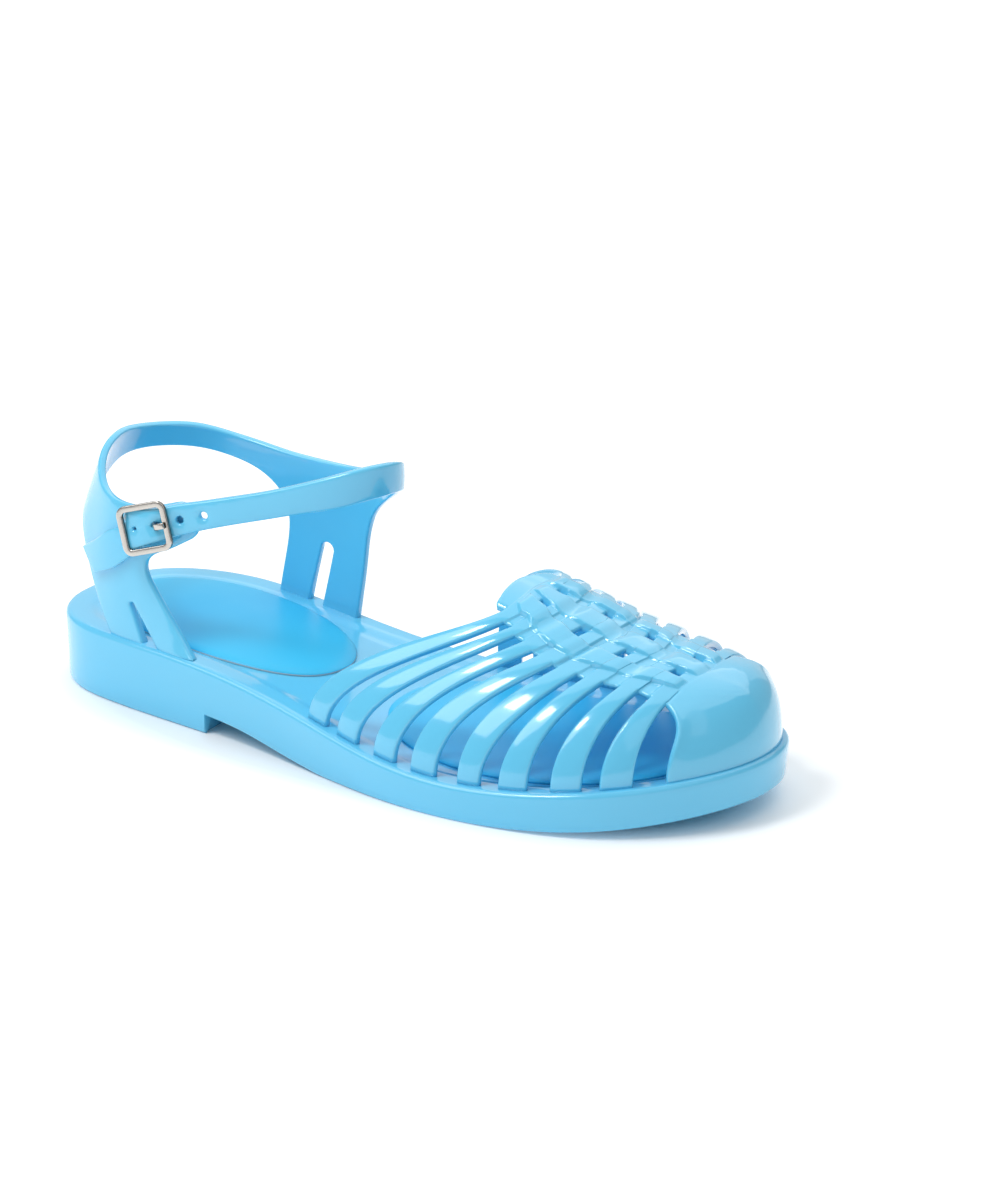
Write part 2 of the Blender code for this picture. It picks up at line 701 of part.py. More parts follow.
# Buckle and rivet
def frame_axes():
    # middle of the frame on the strap's outer face, with the strap's direction, up and outward
    here = Vector(strip_point(FRAME_STATION - FRAME_SPAN, FRAME_LEVEL + FRAME_SLOPE))
    there = Vector(strip_point(FRAME_STATION + FRAME_SPAN, FRAME_LEVEL - FRAME_SLOPE))
    along = (here - there).normalized()
    tall = Vector(strip_point(FRAME_STATION, FRAME_LEVEL + 1)) - Vector(strip_point(FRAME_STATION, FRAME_LEVEL - 1))
    out = along.cross(tall).normalized()
    up = out.cross(along).normalized()
    middle = Vector(strip_point(FRAME_STATION, FRAME_LEVEL, QUARTER_WALL + FRAME_LIFT))
    return middle, along, up, out


def swept_wire(name, path, radius, closed, paint):
    line = bpy.data.curves.new(name, "CURVE")
    line.dimensions = "3D"
    line.bevel_depth = radius * MM
    line.bevel_resolution = 1
    line.use_fill_caps = True
    spline = line.splines.new("POLY")
    spline.points.add(len(path) - 1)
    for spot, where in zip(spline.points, path):
        spot.co = (*place(where), 1.0)
    spline.use_cyclic_u = closed
    holder = bpy.data.objects.new(name + "_line", line)
    cutter_group.objects.link(holder)
    shape = bpy.context.evaluated_depsgraph_get()
    mesh = bpy.data.meshes.new_from_object(holder.evaluated_get(shape))
    bpy.data.objects.remove(holder, do_unlink=True)
    work = bmesh.new()
    work.from_mesh(mesh)
    bmesh.ops.remove_doubles(work, verts=work.verts, dist=0.00001)
    bmesh.ops.recalc_face_normals(work, faces=work.faces)
    work.to_mesh(mesh)
    work.free()
    mesh.materials.clear()
    mesh.materials.append(paint)
    thing = bpy.data.objects.new(name, mesh)
    part_group.objects.link(thing)
    return thing


def build_buckle():
    middle, along, up, out = frame_axes()
    path = []
    half = (FRAME_LENGTH / 2, FRAME_HEIGHT / 2)
    for quarter, (sx, sy) in enumerate(((1, 1), (-1, 1), (-1, -1), (1, -1))):
        for k in range(5):
            angle = math.radians(90 * quarter + 22.5 * k)
            across = sx * (half[0] - FRAME_CORNER) + FRAME_CORNER * math.cos(angle)
            rise = sy * (half[1] - FRAME_CORNER) + FRAME_CORNER * math.sin(angle)
            path.append(middle + along * across + up * rise)
    frame = swept_wire("buckle_frame", path, WIRE, True, steel)
    # the prong loops the back bar, runs under the strap, comes up its hole and rests on the front bar
    loop = WIRE + PRONG_WIRE + GAP
    spots = []
    first, step, count = PRONG_LOOP
    for k in range(count):
        angle = math.radians(first + step * k)
        spots.append((-half[0] + loop * math.cos(angle), loop * math.sin(angle)))
    under = -QUARTER_WALL - PRONG_WIRE
    spots.extend((-half[0] + a, under - o) for a, o in PRONG_UNDER)
    spots.extend((PRONG_HOLE + a, under - o) for a, o in PRONG_RISE)
    spots.extend((PRONG_HOLE + a, o) for a, o in PRONG_TOP)
    starts = (PRONG_HOLE, half[0], half[0])
    spots.extend((start + a, loop + o) for start, (a, o) in zip(starts, PRONG_REST))
    path = [middle + along * a + out * o for a, o in spots]
    prong = swept_wire("buckle_prong", path, PRONG_WIRE, False, prong_steel)
    return frame, prong


def round_bar(name, rows, sides, centre, axis, paint=None):
    # turned solid from rows of height along the axis and radius
    axis = Vector(axis).normalized()
    across = axis.cross(Vector((0.0, 0.0, 1.0))).normalized()
    upward = axis.cross(across)
    points = []
    faces = []
    for height, radius in rows:
        for k in range(sides):
            angle = 2 * math.pi * k / sides
            spot = Vector(centre) + axis * height + (across * math.cos(angle) + upward * math.sin(angle)) * radius
            points.append(spot)
    for ring in range(len(rows) - 1):
        for k in range(sides):
            j = (k + 1) % sides
            faces.append((ring * sides + k, ring * sides + j, (ring + 1) * sides + j, (ring + 1) * sides + k))
    faces.append(tuple(range(sides)))
    faces.append(tuple(range(len(points) - 1, len(points) - sides - 1, -1)))
    thing = new_object(name, points, faces, paint)
    face_out(thing)
    return thing


def rivet_axis():
    inside = Vector(strip_point(RIVET_STATION, RIVET_HEIGHT))
    side = Vector(strip_point(RIVET_STATION + 0.1, RIVET_HEIGHT)) - inside
    tall = Vector(strip_point(RIVET_STATION, RIVET_HEIGHT + 1.0)) - inside
    out = side.cross(tall).normalized()
    if out.dot(Vector((0.0, -1.0, 0.0))) < 0:
        out = -out
    return inside, out


sole = build_sole()
cut(sole, build_arch_cutter())
build_pad("insole_heel_pad", heel_cover)
build_pad("insole_forefoot_pad", fore_cover)
build_vamp()
back = build_back()
tab = build_tab()
build_buckle()
head_spot, head_axis = rivet_axis()
rivet_rows = ((-GAP - RIVET_THICK - RIVET_CROWN[1], RIVET_CROWN[0]), (-GAP - RIVET_THICK, RIVET_HEAD),
              (-GAP, RIVET_HEAD), (-GAP, RIVET_SHANK), (QUARTER_WALL + GAP + RIVET_SEAT, RIVET_SHANK))
round_bar("rivet", rivet_rows, 16, head_spot, head_axis, rivet_steel)
hole_rows = ((RIVET_CUT[0], RIVET_SHANK + GAP), (QUARTER_WALL + GAP + RIVET_CUT[1], RIVET_SHANK + GAP))
hole = round_bar("rivet_hole", hole_rows, 16, head_spot, head_axis)
cut(back, hole)
cut(tab, hole)

# holes of the strap, the first one for the prong
middle, along, up, out = frame_axes()
for number in range(HOLE_COUNT):
    spot = middle + along * (PRONG_HOLE + HOLE_PITCH * number)
    rows = [(start + step * number, HOLE_RADIUS) for start, step in HOLE_CUT]
    cut(back, round_bar("strap_hole_%d" % (number + 1), rows, 12, spot, out))
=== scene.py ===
import math

import bmesh
import bpy
import numpy as np
from mathutils import Matrix, Vector, geometry


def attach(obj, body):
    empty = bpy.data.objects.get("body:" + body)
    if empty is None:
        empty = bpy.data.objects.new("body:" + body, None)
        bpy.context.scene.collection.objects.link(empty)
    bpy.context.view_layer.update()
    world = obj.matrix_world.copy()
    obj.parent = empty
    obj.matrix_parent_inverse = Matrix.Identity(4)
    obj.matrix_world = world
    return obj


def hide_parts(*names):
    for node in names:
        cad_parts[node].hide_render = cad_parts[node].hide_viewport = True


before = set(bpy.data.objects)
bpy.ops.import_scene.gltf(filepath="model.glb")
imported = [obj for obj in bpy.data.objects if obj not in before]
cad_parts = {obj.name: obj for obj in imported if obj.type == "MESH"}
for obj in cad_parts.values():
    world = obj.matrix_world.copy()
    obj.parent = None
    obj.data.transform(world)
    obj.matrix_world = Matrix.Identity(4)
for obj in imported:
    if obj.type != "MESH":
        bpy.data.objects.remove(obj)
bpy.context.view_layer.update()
print("frame loaded with", len(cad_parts), "nodes")
tiny = 1e-9

# shoe sizes in millimetres: x from heel to toe, y to the inner side, z up from the floor
shoe = {
    "heelEnd": 1.9,
    "toeEnd": 250.4,
    "midX": 126.15,
    "midY": -0.35,
    "millimetre": 0.001,
    "outline": (  # along the shoe, outer side, inner side
        (1.9, 6.0, 6.0), (10.0, -13.1, 32.2), (20.0, -19.9, 39.2), (30.0, -23.0, 42.0),
        (45.0, -26.1, 43.0), (60.0, -28.6, 41.3), (80.0, -32.1, 38.4), (100.0, -36.5, 37.5),
        (120.0, -41.9, 39.3), (140.0, -47.2, 43.7), (160.0, -50.1, 47.9), (180.0, -49.9, 49.5),
        (200.0, -46.8, 48.6), (215.0, -41.6, 45.8), (230.0, -31.7, 39.5), (240.0, -21.0, 31.8),
        (250.4, 6.4, 6.4),
    ),
    "rim": ((1.9, 21.3), (75.0, 21.1), (165.0, 11.65), (210.0, 14.4), (250.4, 19.2)),  # along, height
}


def smoothCurve(knots, values):
    # natural cubic through the knots, read at whole arrays
    knots = np.array(knots, float)
    values = np.array(values, float)
    step = np.diff(knots)
    count = len(knots)
    inner = np.arange(1, count - 1)
    system = np.eye(count)
    system[inner, inner - 1] = step[:-1]
    system[inner, inner] = 2 * (step[:-1] + step[1:])
    system[inner, inner + 1] = step[1:]
    wide = step if values.ndim == 1 else step[:, None]
    right = np.zeros(values.shape)
    right[1:-1] = 6 * np.diff(np.diff(values, axis=0) / wide, axis=0)
    bend = np.linalg.solve(system, right)

    def at(where):
        where = np.clip(np.asarray(where, float), knots[0], knots[-1])
        k = np.clip(np.searchsorted(knots, where) - 1, 0, count - 2)
        h = step[k]
        a = (knots[k + 1] - where) / h
        b = 1 - a
        if values.ndim > 1:
            a, b, h = a[..., None], b[..., None], h[..., None]
        curved = ((a ** 3 - a) * bend[k] + (b ** 3 - b) * bend[k + 1]) * h * h / 6
        return a * values[k] + b * values[k + 1] + curved

    return at


def smoothStep(value, low, high):
    # 0 below low, 1 above high, a cubic between
    share = np.clip((value - low) / (high - low), 0, 1)
    return share * share * (3 - 2 * share)


def tableCurve(rows):
    # smooth curve through a table: the place in its first column, what is read there in the others
    table = np.array(rows, float)
    return smoothCurve(table[:, 0], table[:, 1] if table.shape[1] == 2 else table[:, 1:])


def unit(vectors):
    shortest = 1e-12
    return vectors / np.maximum(np.linalg.norm(vectors, axis=-1, keepdims=True), shortest)


def runLength(points):
    # distance of each point along its row from the first one
    return np.concatenate(((0.0,), np.cumsum(np.linalg.norm(np.diff(points, axis=0), axis=1))))


def circleAngles(count):
    return np.linspace(0, 2 * math.pi, count, endpoint=False)


def superEllipse(angle, power):
    # cosine and sine raised to two over the power, with their signs kept
    c, s = np.cos(angle), np.sin(angle)
    return np.sign(c) * np.abs(c) ** (2 / power), np.sign(s) * np.abs(s) ** (2 / power)


def turnOf(x):
    # 0 at the heel's end, 1 at the toe's end
    share = 1 - 2 * (np.asarray(x, float) - shoe["heelEnd"]) / (shoe["toeEnd"] - shoe["heelEnd"])
    return np.arccos(np.clip(share, -1, 1)) / math.pi


outlineX, outerY, innerY = np.array(shoe["outline"]).T
outerEdge = smoothCurve(turnOf(outlineX), outerY)
innerEdge = smoothCurve(turnOf(outlineX), innerY)
rimHeight = tableCurve(shoe["rim"])


def outlinePoint(turn):
    # turn 0 to 1 runs heel to toe on the outer side, 1 to 2 back on the inner side
    turn = np.asarray(turn, float) % 2
    middle = (shoe["heelEnd"] + shoe["toeEnd"]) / 2
    half = (shoe["toeEnd"] - shoe["heelEnd"]) / 2
    x = middle - half * np.cos(math.pi * turn)
    y = np.where(turn <= 1, outerEdge(turn), innerEdge(2 - turn))
    return np.stack((x, y), -1)


def insetPoint(turn, inset):
    # the outline moved inwards along its own normal
    step = 0.004
    along = unit(outlinePoint(np.asarray(turn) + step) - outlinePoint(np.asarray(turn) - step))
    inward = np.stack((-along[..., 1], along[..., 0]), -1)
    return outlinePoint(turn) + inward * np.asarray(inset)[..., None]


def toFrame(points):
    # shoe millimetres to the frame's metres
    return (np.asarray(points, float) - (shoe["midX"], shoe["midY"], 0.0)) * shoe["millimetre"]


def putInScene(thing):
    bpy.context.scene.collection.objects.link(thing)


def makePiece(name, points, faces, node, merge=0.0):
    # points in shoe millimetres become a mesh in the frame's metres, with its faces out
    mesh = bpy.data.meshes.new(name)
    mesh.from_pydata(toFrame(points).tolist(), [], faces)
    work = bmesh.new()
    work.from_mesh(mesh)
    if merge:
        bmesh.ops.remove_doubles(work, verts=work.verts, dist=merge)
    bmesh.ops.recalc_face_normals(work, faces=work.faces)
    work.to_mesh(mesh)
    work.free()
    mesh.shade_smooth()
    piece = bpy.data.objects.new(name, mesh)
    putInScene(piece)
    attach(piece, "root")
    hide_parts(node)
    print(name, "has", len(mesh.polygons), "faces")
    return piece


def writeMark(piece, name, values):
    # one number on each point, which a material reads
    layer = piece.data.attributes.new(name, "FLOAT", "POINT")
    layer.data.foreach_set("value", np.asarray(values, np.float32))


def gridFaces(rows, columns, wrap=False):
    # quads of a grid of points numbered row by row
    row, column = np.meshgrid(np.arange(rows - 1), np.arange(columns - (0 if wrap else 1)), indexing="ij")
    after = (column + 1) % columns
    quads = np.stack((row * columns + column, row * columns + after,
                      (row + 1) * columns + after, (row + 1) * columns + column), -1)
    return quads.reshape(-1, 4)


def withoutRepeats(faces):
    # lists of corners, each corner named once
    return [list(dict.fromkeys(face)) for face in faces.tolist()]


def edgeDistance(points, ends, readings=5, batch=2000):
    # shortest distance from each point to the free edges, each edge read at a few spots, batch by batch
    share = np.linspace(0, 1, readings)[:, None, None]
    spots = (ends[:, 0] * (1 - share) + ends[:, 1] * share).reshape(-1, 3)
    found = np.empty(len(points))
    for start in range(0, len(points), batch):
        part = points[start:start + batch]
        square = (part ** 2).sum(1)[:, None] + (spots ** 2).sum(1)[None] - 2 * part @ spots.T
        found[start:start + batch] = np.sqrt(np.maximum(square.min(1), 0))
    return found


def roundedDrop(distance, radius):
    # quarter circle: the full radius at the edge, nothing beyond it
    reach = radius - np.minimum(distance, radius)
    return radius - np.sqrt(np.maximum(radius ** 2 - reach ** 2, 0))


def wallMesh(points, normals, cells, wall, buried, roundOut, roundIn, crown=0.0, crownReach=3.0):
    # a sheet's inner face, its outer face at the wall's height, both rolled over at the free edges,
    # and the rims between them; the crown rises from the edge by an exponential of the distance
    sides = cells.shape[1]
    used, cells = np.unique(cells, return_inverse=True)
    cells = cells.reshape(-1, sides)
    points, normals, wall, buried = points[used], normals[used], wall[used], buried[used]
    edges = np.concatenate([cells[:, [k, (k + 1) % sides]] for k in range(sides)])
    edges = edges[edges[:, 0] != edges[:, 1]]
    code = np.sort(edges, 1) @ np.array((len(points), 1))
    once = np.unique(code, return_counts=True)
    lone = edges[np.isin(code, once[0][once[1] == 1])]
    free = lone[~(buried[lone[:, 0]] & buried[lone[:, 1]])]
    gap = edgeDistance(points, points[free])
    rise = wall + crown * (1 - np.exp(-gap / crownReach))
    outer = points + normals * (rise - roundedDrop(gap, roundOut))[:, None]
    inner = points + normals * roundedDrop(gap, roundIn)[:, None]
    count = len(points)
    rims = np.stack((lone[:, 1], lone[:, 0], lone[:, 0] + count, lone[:, 1] + count), -1)
    faces = withoutRepeats(cells) + withoutRepeats(cells[:, ::-1] + count)
    faces = [face for face in faces if len(face) > 2] + rims.tolist()
    return np.concatenate((outer, inner)), faces


# Sole
soleLook = {
    "columns": 132,
    "sideTaper": 1.1,
    "edgeRound": 0.9,
    "edgeAngles": (0, 30, 60, 90),
    "sideShares": (0.2, 0.4, 0.6, 0.8),
    "rimRound": 1.7,
    "rimAngles": (0, 15, 30, 45, 60, 75, 90),
    "ledge": 6.6,
    "ledgeRings": (3.0, 4.6),
    "dishWidth": 4.5,
    "dish": 0.75,
    "dishRings": 5,
    "stripPoints": 19,
    "breast": 70.0,
    "breastSlit": 0.0003,  # half the turn between the two columns at the breast
    "arch": ((70.0, 5.9), (80.0, 5.3), (90.0, 4.0), (100.0, 2.3), (110.0, 0.9), (119.0, 0.0)),
    "springStart": 170.0,
    "spring": 7.1,
    "weld": 0.000004,  # metres
    "sharpAngle": 50,
}
archHeight = tableCurve(soleLook["arch"])


def springHeight(x):
    # the toe lifts with the square of the distance
    lift = np.clip((x - soleLook["springStart"]) / (shoe["toeEnd"] - soleLook["springStart"]), 0, 1)
    return soleLook["spring"] * lift ** 2


def floorHeight(x):
    # flat heel, arched waist ahead of the breast, flat ball and the toe's spring
    inWaist = (x > soleLook["breast"]) & (x < soleLook["arch"][-1][0])
    return np.where(inWaist, archHeight(x), 0.0) + springHeight(x)


def bedHeight(x):
    return rimHeight(x) - soleLook["dish"]


def buildSole():
    # rings of the outline: bottom edge, side, rolled rim, ledge and dished bed;
    # strips close the bed and the bottom
    look = soleLook
    half = np.linspace(0, 1, look["columns"] + 1)
    breast = float(turnOf(look["breast"]))
    half = np.sort(np.concatenate((half, (breast - look["breastSlit"], breast + look["breastSlit"]))))
    turns = np.concatenate((half, 2 - half[-2:0:-1]))
    count = len(turns)
    soft, roll, ledge = look["edgeRound"], look["rimRound"], look["ledge"]
    edgeX = outlinePoint(turns)[:, 0]
    low, ground, top = floorHeight(edgeX), springHeight(edgeX), rimHeight(edgeX) - roll
    edgeAngles, rimAngles = np.radians(look["edgeAngles"]), np.radians(look["rimAngles"])
    sides = [(soft * (1 - math.sin(a)), low + soft * (1 - math.cos(a))) for a in edgeAngles]
    sides += [(0.0, low + soft + (top - low - soft) * share) for share in look["sideShares"]]
    sides += [(roll * (1 - math.cos(a)), top + roll * math.sin(a)) for a in rimAngles]
    layers = []
    for inset, height in sides:
        lean = look["sideTaper"] * np.clip(1 - (height - ground) / (top - ground), 0, 1)
        layers.append(np.column_stack((insetPoint(turns, inset + lean), height)))
    rings = [(inset, 0.0) for inset in (*look["ledgeRings"], ledge)]
    for share in np.linspace(0, 1, look["dishRings"] + 1)[1:]:
        rings.append((ledge + look["dishWidth"] * share, look["dish"] * float(smoothStep(share, 0, 1))))
    for inset, drop in rings:
        flat = insetPoint(turns, np.full(count, inset))
        layers.append(np.column_stack((flat, rimHeight(flat[:, 0]) - drop)))
    points = np.concatenate(layers)
    faces = gridFaces(len(layers), count, wrap=True).tolist()
    last = len(half) - 1
    shares = np.linspace(0, 1, look["stripPoints"])
    for ring, height in ((layers[-1], bedHeight), (layers[0], floorHeight)):
        near = ring[:last + 1]
        far = ring[(-np.arange(last + 1)) % count]
        strip = near[:, None] + (far - near)[:, None] * shares[None, :, None]
        strip[1:-1, 1:-1, 2] = height(strip[1:-1, 1:-1, 0])
        faces += (gridFaces(last + 1, len(shares)) + len(points)).tolist()
        points = np.concatenate((points, strip.reshape(-1, 3)))
    piece = makePiece("soleUnit", points, faces, "sole", merge=look["weld"])
    piece.data.set_sharp_from_angle(angle=math.radians(look["sharpAngle"]))
    return piece


# Pads
padLook = {
    "heelPad": {
        "node": "insole_heel_pad", "middle": (56.4, 6.9), "half": (45.2, 25.0), "turn": -11.0,
        "edge": 1.25, "crown": 2.3, "raw": 1.0,
    },
    "forefootPad": {
        "node": "insole_forefoot_pad", "middle": (178.0, -0.5), "half": (54.0, 36.0), "turn": 0.0,
        "edge": 1.1, "crown": 1.7, "raw": 0.0,
    },
    "power": 2.25,
    "roll": 2.6,
    "rawEdge": 0.45,
    "bedGap": 0.05,
    "angles": 144,
    "rings": (  # millimetres in from the edge
        0.0, 0.0, 0.02, 0.1, 0.25, 0.5, 0.9, 1.4, 2.0, 2.6, 3.6, 5.0, 7.0, 10.0, 14.0, 18.0, 22.0,
    ),
}


def buildPad(name):
    # superellipse shrunk ring by ring: a raw cut edge, a quarter-ellipse roll and a parabola dome
    look = padLook[name]
    rawEdge, count = padLook["rawEdge"], padLook["angles"]
    across, upward = superEllipse(circleAngles(count), padLook["power"])
    inward = np.array(padLook["rings"])
    reach = 1 - inward / look["half"][1]
    rolled = np.sqrt(1 - (1 - np.clip(inward / padLook["roll"], 0, 1)) ** 2)
    lift = rawEdge + rolled * (look["edge"] - rawEdge) + look["crown"] * (1 - reach ** 2)
    lift[0] = 0.0
    long = look["half"][0] * reach[:, None] * across[None]
    wide = look["half"][1] * reach[:, None] * upward[None]
    turn = math.radians(look["turn"])
    x = look["middle"][0] + long * math.cos(turn) - wide * math.sin(turn)
    y = look["middle"][1] + long * math.sin(turn) + wide * math.cos(turn)
    z = bedHeight(x) + padLook["bedGap"] + lift[:, None]
    points = np.stack((x, y, z), -1).reshape(-1, 3)
    faces = gridFaces(len(reach), count, wrap=True).tolist()
    strip = np.arange(count // 2)
    caps = np.stack((strip, strip + 1, (count - strip - 1) % count, (count - strip) % count), -1)
    for start in (0, (len(reach) - 1) * count):
        faces += withoutRepeats(caps + start)
    piece = makePiece(name, points, faces, look["node"])
    raw = np.zeros(len(points))
    raw[:2 * count] = look["raw"]
    writeMark(piece, "rawEdge", raw)
    return piece


# Vamp
vampLook = {
    "lines": (  # strap edges from back to front: outer base, inner base, ridge end, lead power, bow
        (111.1, 132.0, 168.5, 2.6, 3.0), (118.8, 139.5, 173.5, 2.96, 0.1),
        (123.6, 143.0, 176.1, 2.52, 2.05), (132.2, 150.5, 180.2, 2.7, -0.3),
        (139.5, 154.0, 183.7, 2.09, 1.85), (148.3, 162.0, 188.7, 1.89, 2.06),
        (154.7, 165.0, 191.8, 1.46, 3.97), (164.2, 173.5, 195.6, 1.72, 2.33),
        (172.2, 177.0, 199.8, 1.15, 2.9), (180.2, 185.2, 204.1, 2.04, -1.46),
        (186.5, 189.5, 206.9, 1.59, -0.25), (196.1, 198.3, 211.9, 1.25, 0.48),
        (203.5, 204.6, 216.1, 1.15, 0.89), (213.1, 213.2, 221.8, 1.09, -0.29),
        (218.3, 218.4, 224.4, 1.31, 0.38), (227.3, 226.4, 229.2, 1.0, -0.28),
    ),
    "bandKnots": (0.535, 0.63, 0.78, 0.885),
    "bands": {  # per strap edge: web's low edge, side patch low and high edge, middle patch low edge
        "outer": (
            (0.56, 0.72, 0.877, 0.933), (0.55, 0.66, 0.842, 0.890), (0.56, 0.664, 0.830, 0.872),
            (0.535, 0.632, 0.800, 0.866), (0.545, 0.630, 0.806, 0.870), (0.53, 0.616, 0.779, 0.876),
            (0.533, 0.619, 0.780, 0.889), (0.524, 0.612, 0.764, 0.895), (0.52, 0.610, 0.800, 0.880),
            (0.53, 0.625, 0.778, 0.893), (0.52, 0.628, 0.776, 0.892), (0.534, 0.642, 0.779, 0.902),
            (0.536, 0.640, 0.810, 0.896), (0.535, 0.655, 0.805, 0.892), (0.50, 0.647, 0.777, 0.881),
            (0.50, 0.625, 0.753, 0.871),
        ),
        "inner": (
            (0.535, 0.66, 0.870, 0.955), (0.535, 0.66, 0.870, 0.955), (0.535, 0.66, 0.865, 0.950),
            (0.535, 0.66, 0.855, 0.940), (0.535, 0.65, 0.805, 0.905), (0.535, 0.65, 0.800, 0.907),
            (0.535, 0.65, 0.795, 0.909), (0.535, 0.65, 0.795, 0.913), (0.535, 0.65, 0.775, 0.911),
            (0.535, 0.65, 0.770, 0.911), (0.535, 0.65, 0.765, 0.913), (0.535, 0.65, 0.775, 0.925),
            (0.535, 0.65, 0.810, 0.905), (0.535, 0.65, 0.810, 0.909), (0.535, 0.65, 0.810, 0.920),
            (0.535, 0.65, 0.810, 0.925),
        ),
    },
    "ridge": (  # along, sideways, height
        (158.0, 3.0, 58.2), (172.0, 3.0, 55.2), (191.0, 3.2, 48.9), (207.0, 3.4, 44.6),
        (224.0, 3.8, 41.6), (232.0, 4.4, 40.0), (240.0, 5.4, 37.6),
    ),
    "strapInset": 5.2,
    "capInset": 4.3,
    "archPower": {"outer": 2.1, "inner": 3.3},
    "sunk": 0.5,
    "strapWall": 2.1,
    "strapCrown": 0.2,
    "webWall": 1.6,
    "valleyDepth": 1.1,
    "valleyRoll": 2.6,
    "patchWall": 3.2,
    "patchEdge": (0.006, 0.016),
    "capWall": 2.3,
    "capBase": 235.0,
    "capRidge": (229.2, 239.0),
    "leafTop": 0.47,
    "leafBulge": 1.6,
    "capBlend": 0.22,
    "capEase": 0.3,
    "hole": (0.788, 0.877),
    "tongue": {"outer": (0.565, 5.0, 0.4), "inner": (0.6, 3.0, 0.5)},  # foot, two powers
    "tongueLength": 7.0,
    "tongueSlope": 0.2,
    "tongueWall": 1.8,
    "roundOut": 0.75,
    "roundIn": 0.5,
    "strapEdges": (0.0, 0.07, 0.22, 0.45, 0.75),  # columns of a strap's rolled edge, millimetres
    "strapShares": (0.33, 0.5, 0.67),
    "gapShares": (0.32, 0.5, 0.68),
    "gapEdge": 0.28,
    "crownFade": (0.46, 0.60, 0.75),  # rise where the crown starts to fade and stops, share that goes
    "footCore": (6.0, 3.5, 12.0),  # inside the foot: back from the wall, sideways, height
    "seam": (0.47, 0.50, 0.60, 0.63),  # rises of the groove between the last strap and the cap
    "seamDepth": 0.55,
    "seamWidth": 0.012,
    "capSteps": (
        0.0, 0.002, 0.006, 0.013, 0.022, 0.04, 0.065, 0.1, 0.15, 0.22, 0.28, 0.34, 0.4, 0.46, 0.52, 0.58,
        0.64, 0.7, 0.76, 0.82, 0.88, 0.94, 1.0,
    ),
    "tongueSpan": 1.005,
    "tongueSteps": (1.0, 0.99, 0.97, 0.94, 0.9, 0.82, 0.7, 0.55, 0.4, 0.25, 0.12, 0.03),
    "smoothReach": 15.0,
    "smoothRings": 10,
    "smoothFactor": 0.5,
    "smoothPasses": 40,
}
strapCount = len(vampLook["lines"]) // 2
ridgeLine = tableCurve(vampLook["ridge"])
gapTop = vampLook["bandKnots"][0]
# rows from the rim, 0, to the ridge, 1, close together where an edge rolls over or a patch rises
vampRows = np.concatenate((
    gapTop * np.linspace(0, 1, 30)[:-1] ** 1.8,
    gapTop + np.array((0.0, 0.0012, 0.0036, 0.0075, 0.012, 0.03, 0.05, 0.07)),
    (0.615, 0.624, 0.6277, 0.6313, 0.635, 0.6387, 0.6423, 0.646, 0.66, 0.68, 0.705, 0.73, 0.75),
    (0.764, 0.7677, 0.7713, 0.775, 0.7787, 0.7823, 0.786, 0.788, 0.7892, 0.7916, 0.7955),
    (0.8, 0.8175, 0.835, 0.8525, 0.865, 0.8694, 0.8733, 0.8757),
    (0.877, 0.879, 0.8827, 0.8863, 0.89, 0.8937, 0.8973, 0.901, 0.915, 0.93, 0.95, 0.975, 1.0),
))


def archPoint(turn, inset, ridgeX, rise, lead, archPower):
    # a line from the rim to the ridge: x by its lead, y runs evenly, z follows a superellipse
    base = insetPoint(turn, np.broadcast_to(inset, np.shape(turn)))
    baseZ = rimHeight(base[..., 0]) - vampLook["sunk"]
    ridge = ridgeLine(ridgeX)
    lift = (1 - (1 - rise) ** archPower) ** (1 / archPower)
    x = base[..., 0] + (ridgeX - base[..., 0]) * lead
    y = base[..., 1] + (ridge[..., 0] - base[..., 1]) * rise
    z = baseZ + (ridge[..., 1] - baseZ) * lift
    return np.stack((x, y, z), -1)


def sideTurn(turn, side):
    return turn if side == "outer" else 2 - turn


def strapRises(side):
    # the even rows stretched so that each strap edge meets the bands at its own rises
    knots = (0.0, *vampLook["bandKnots"], 1.0)
    return np.array([np.interp(vampRows, knots, (0.0, *row, 1.0)) for row in vampLook["bands"][side]])


def strapLines(side):
    # back and front edge of every strap as rows of points, bowed along the shoe by a squared sine
    table = np.array(vampLook["lines"])
    baseX = table[:, :1] if side == "outer" else table[:, 1:2]
    ridgeX, lead, bow = table[:, 2:3], table[:, 3:4], table[:, 4:5]
    rise = strapRises(side)
    turn = np.broadcast_to(sideTurn(turnOf(baseX), side), rise.shape)
    lines = archPoint(turn, vampLook["strapInset"], np.broadcast_to(ridgeX, rise.shape), rise,
                      1 - (1 - rise) ** lead, vampLook["archPower"][side])
    lines[..., 0] += bow * np.sin(math.pi * rise) ** 2
    return lines


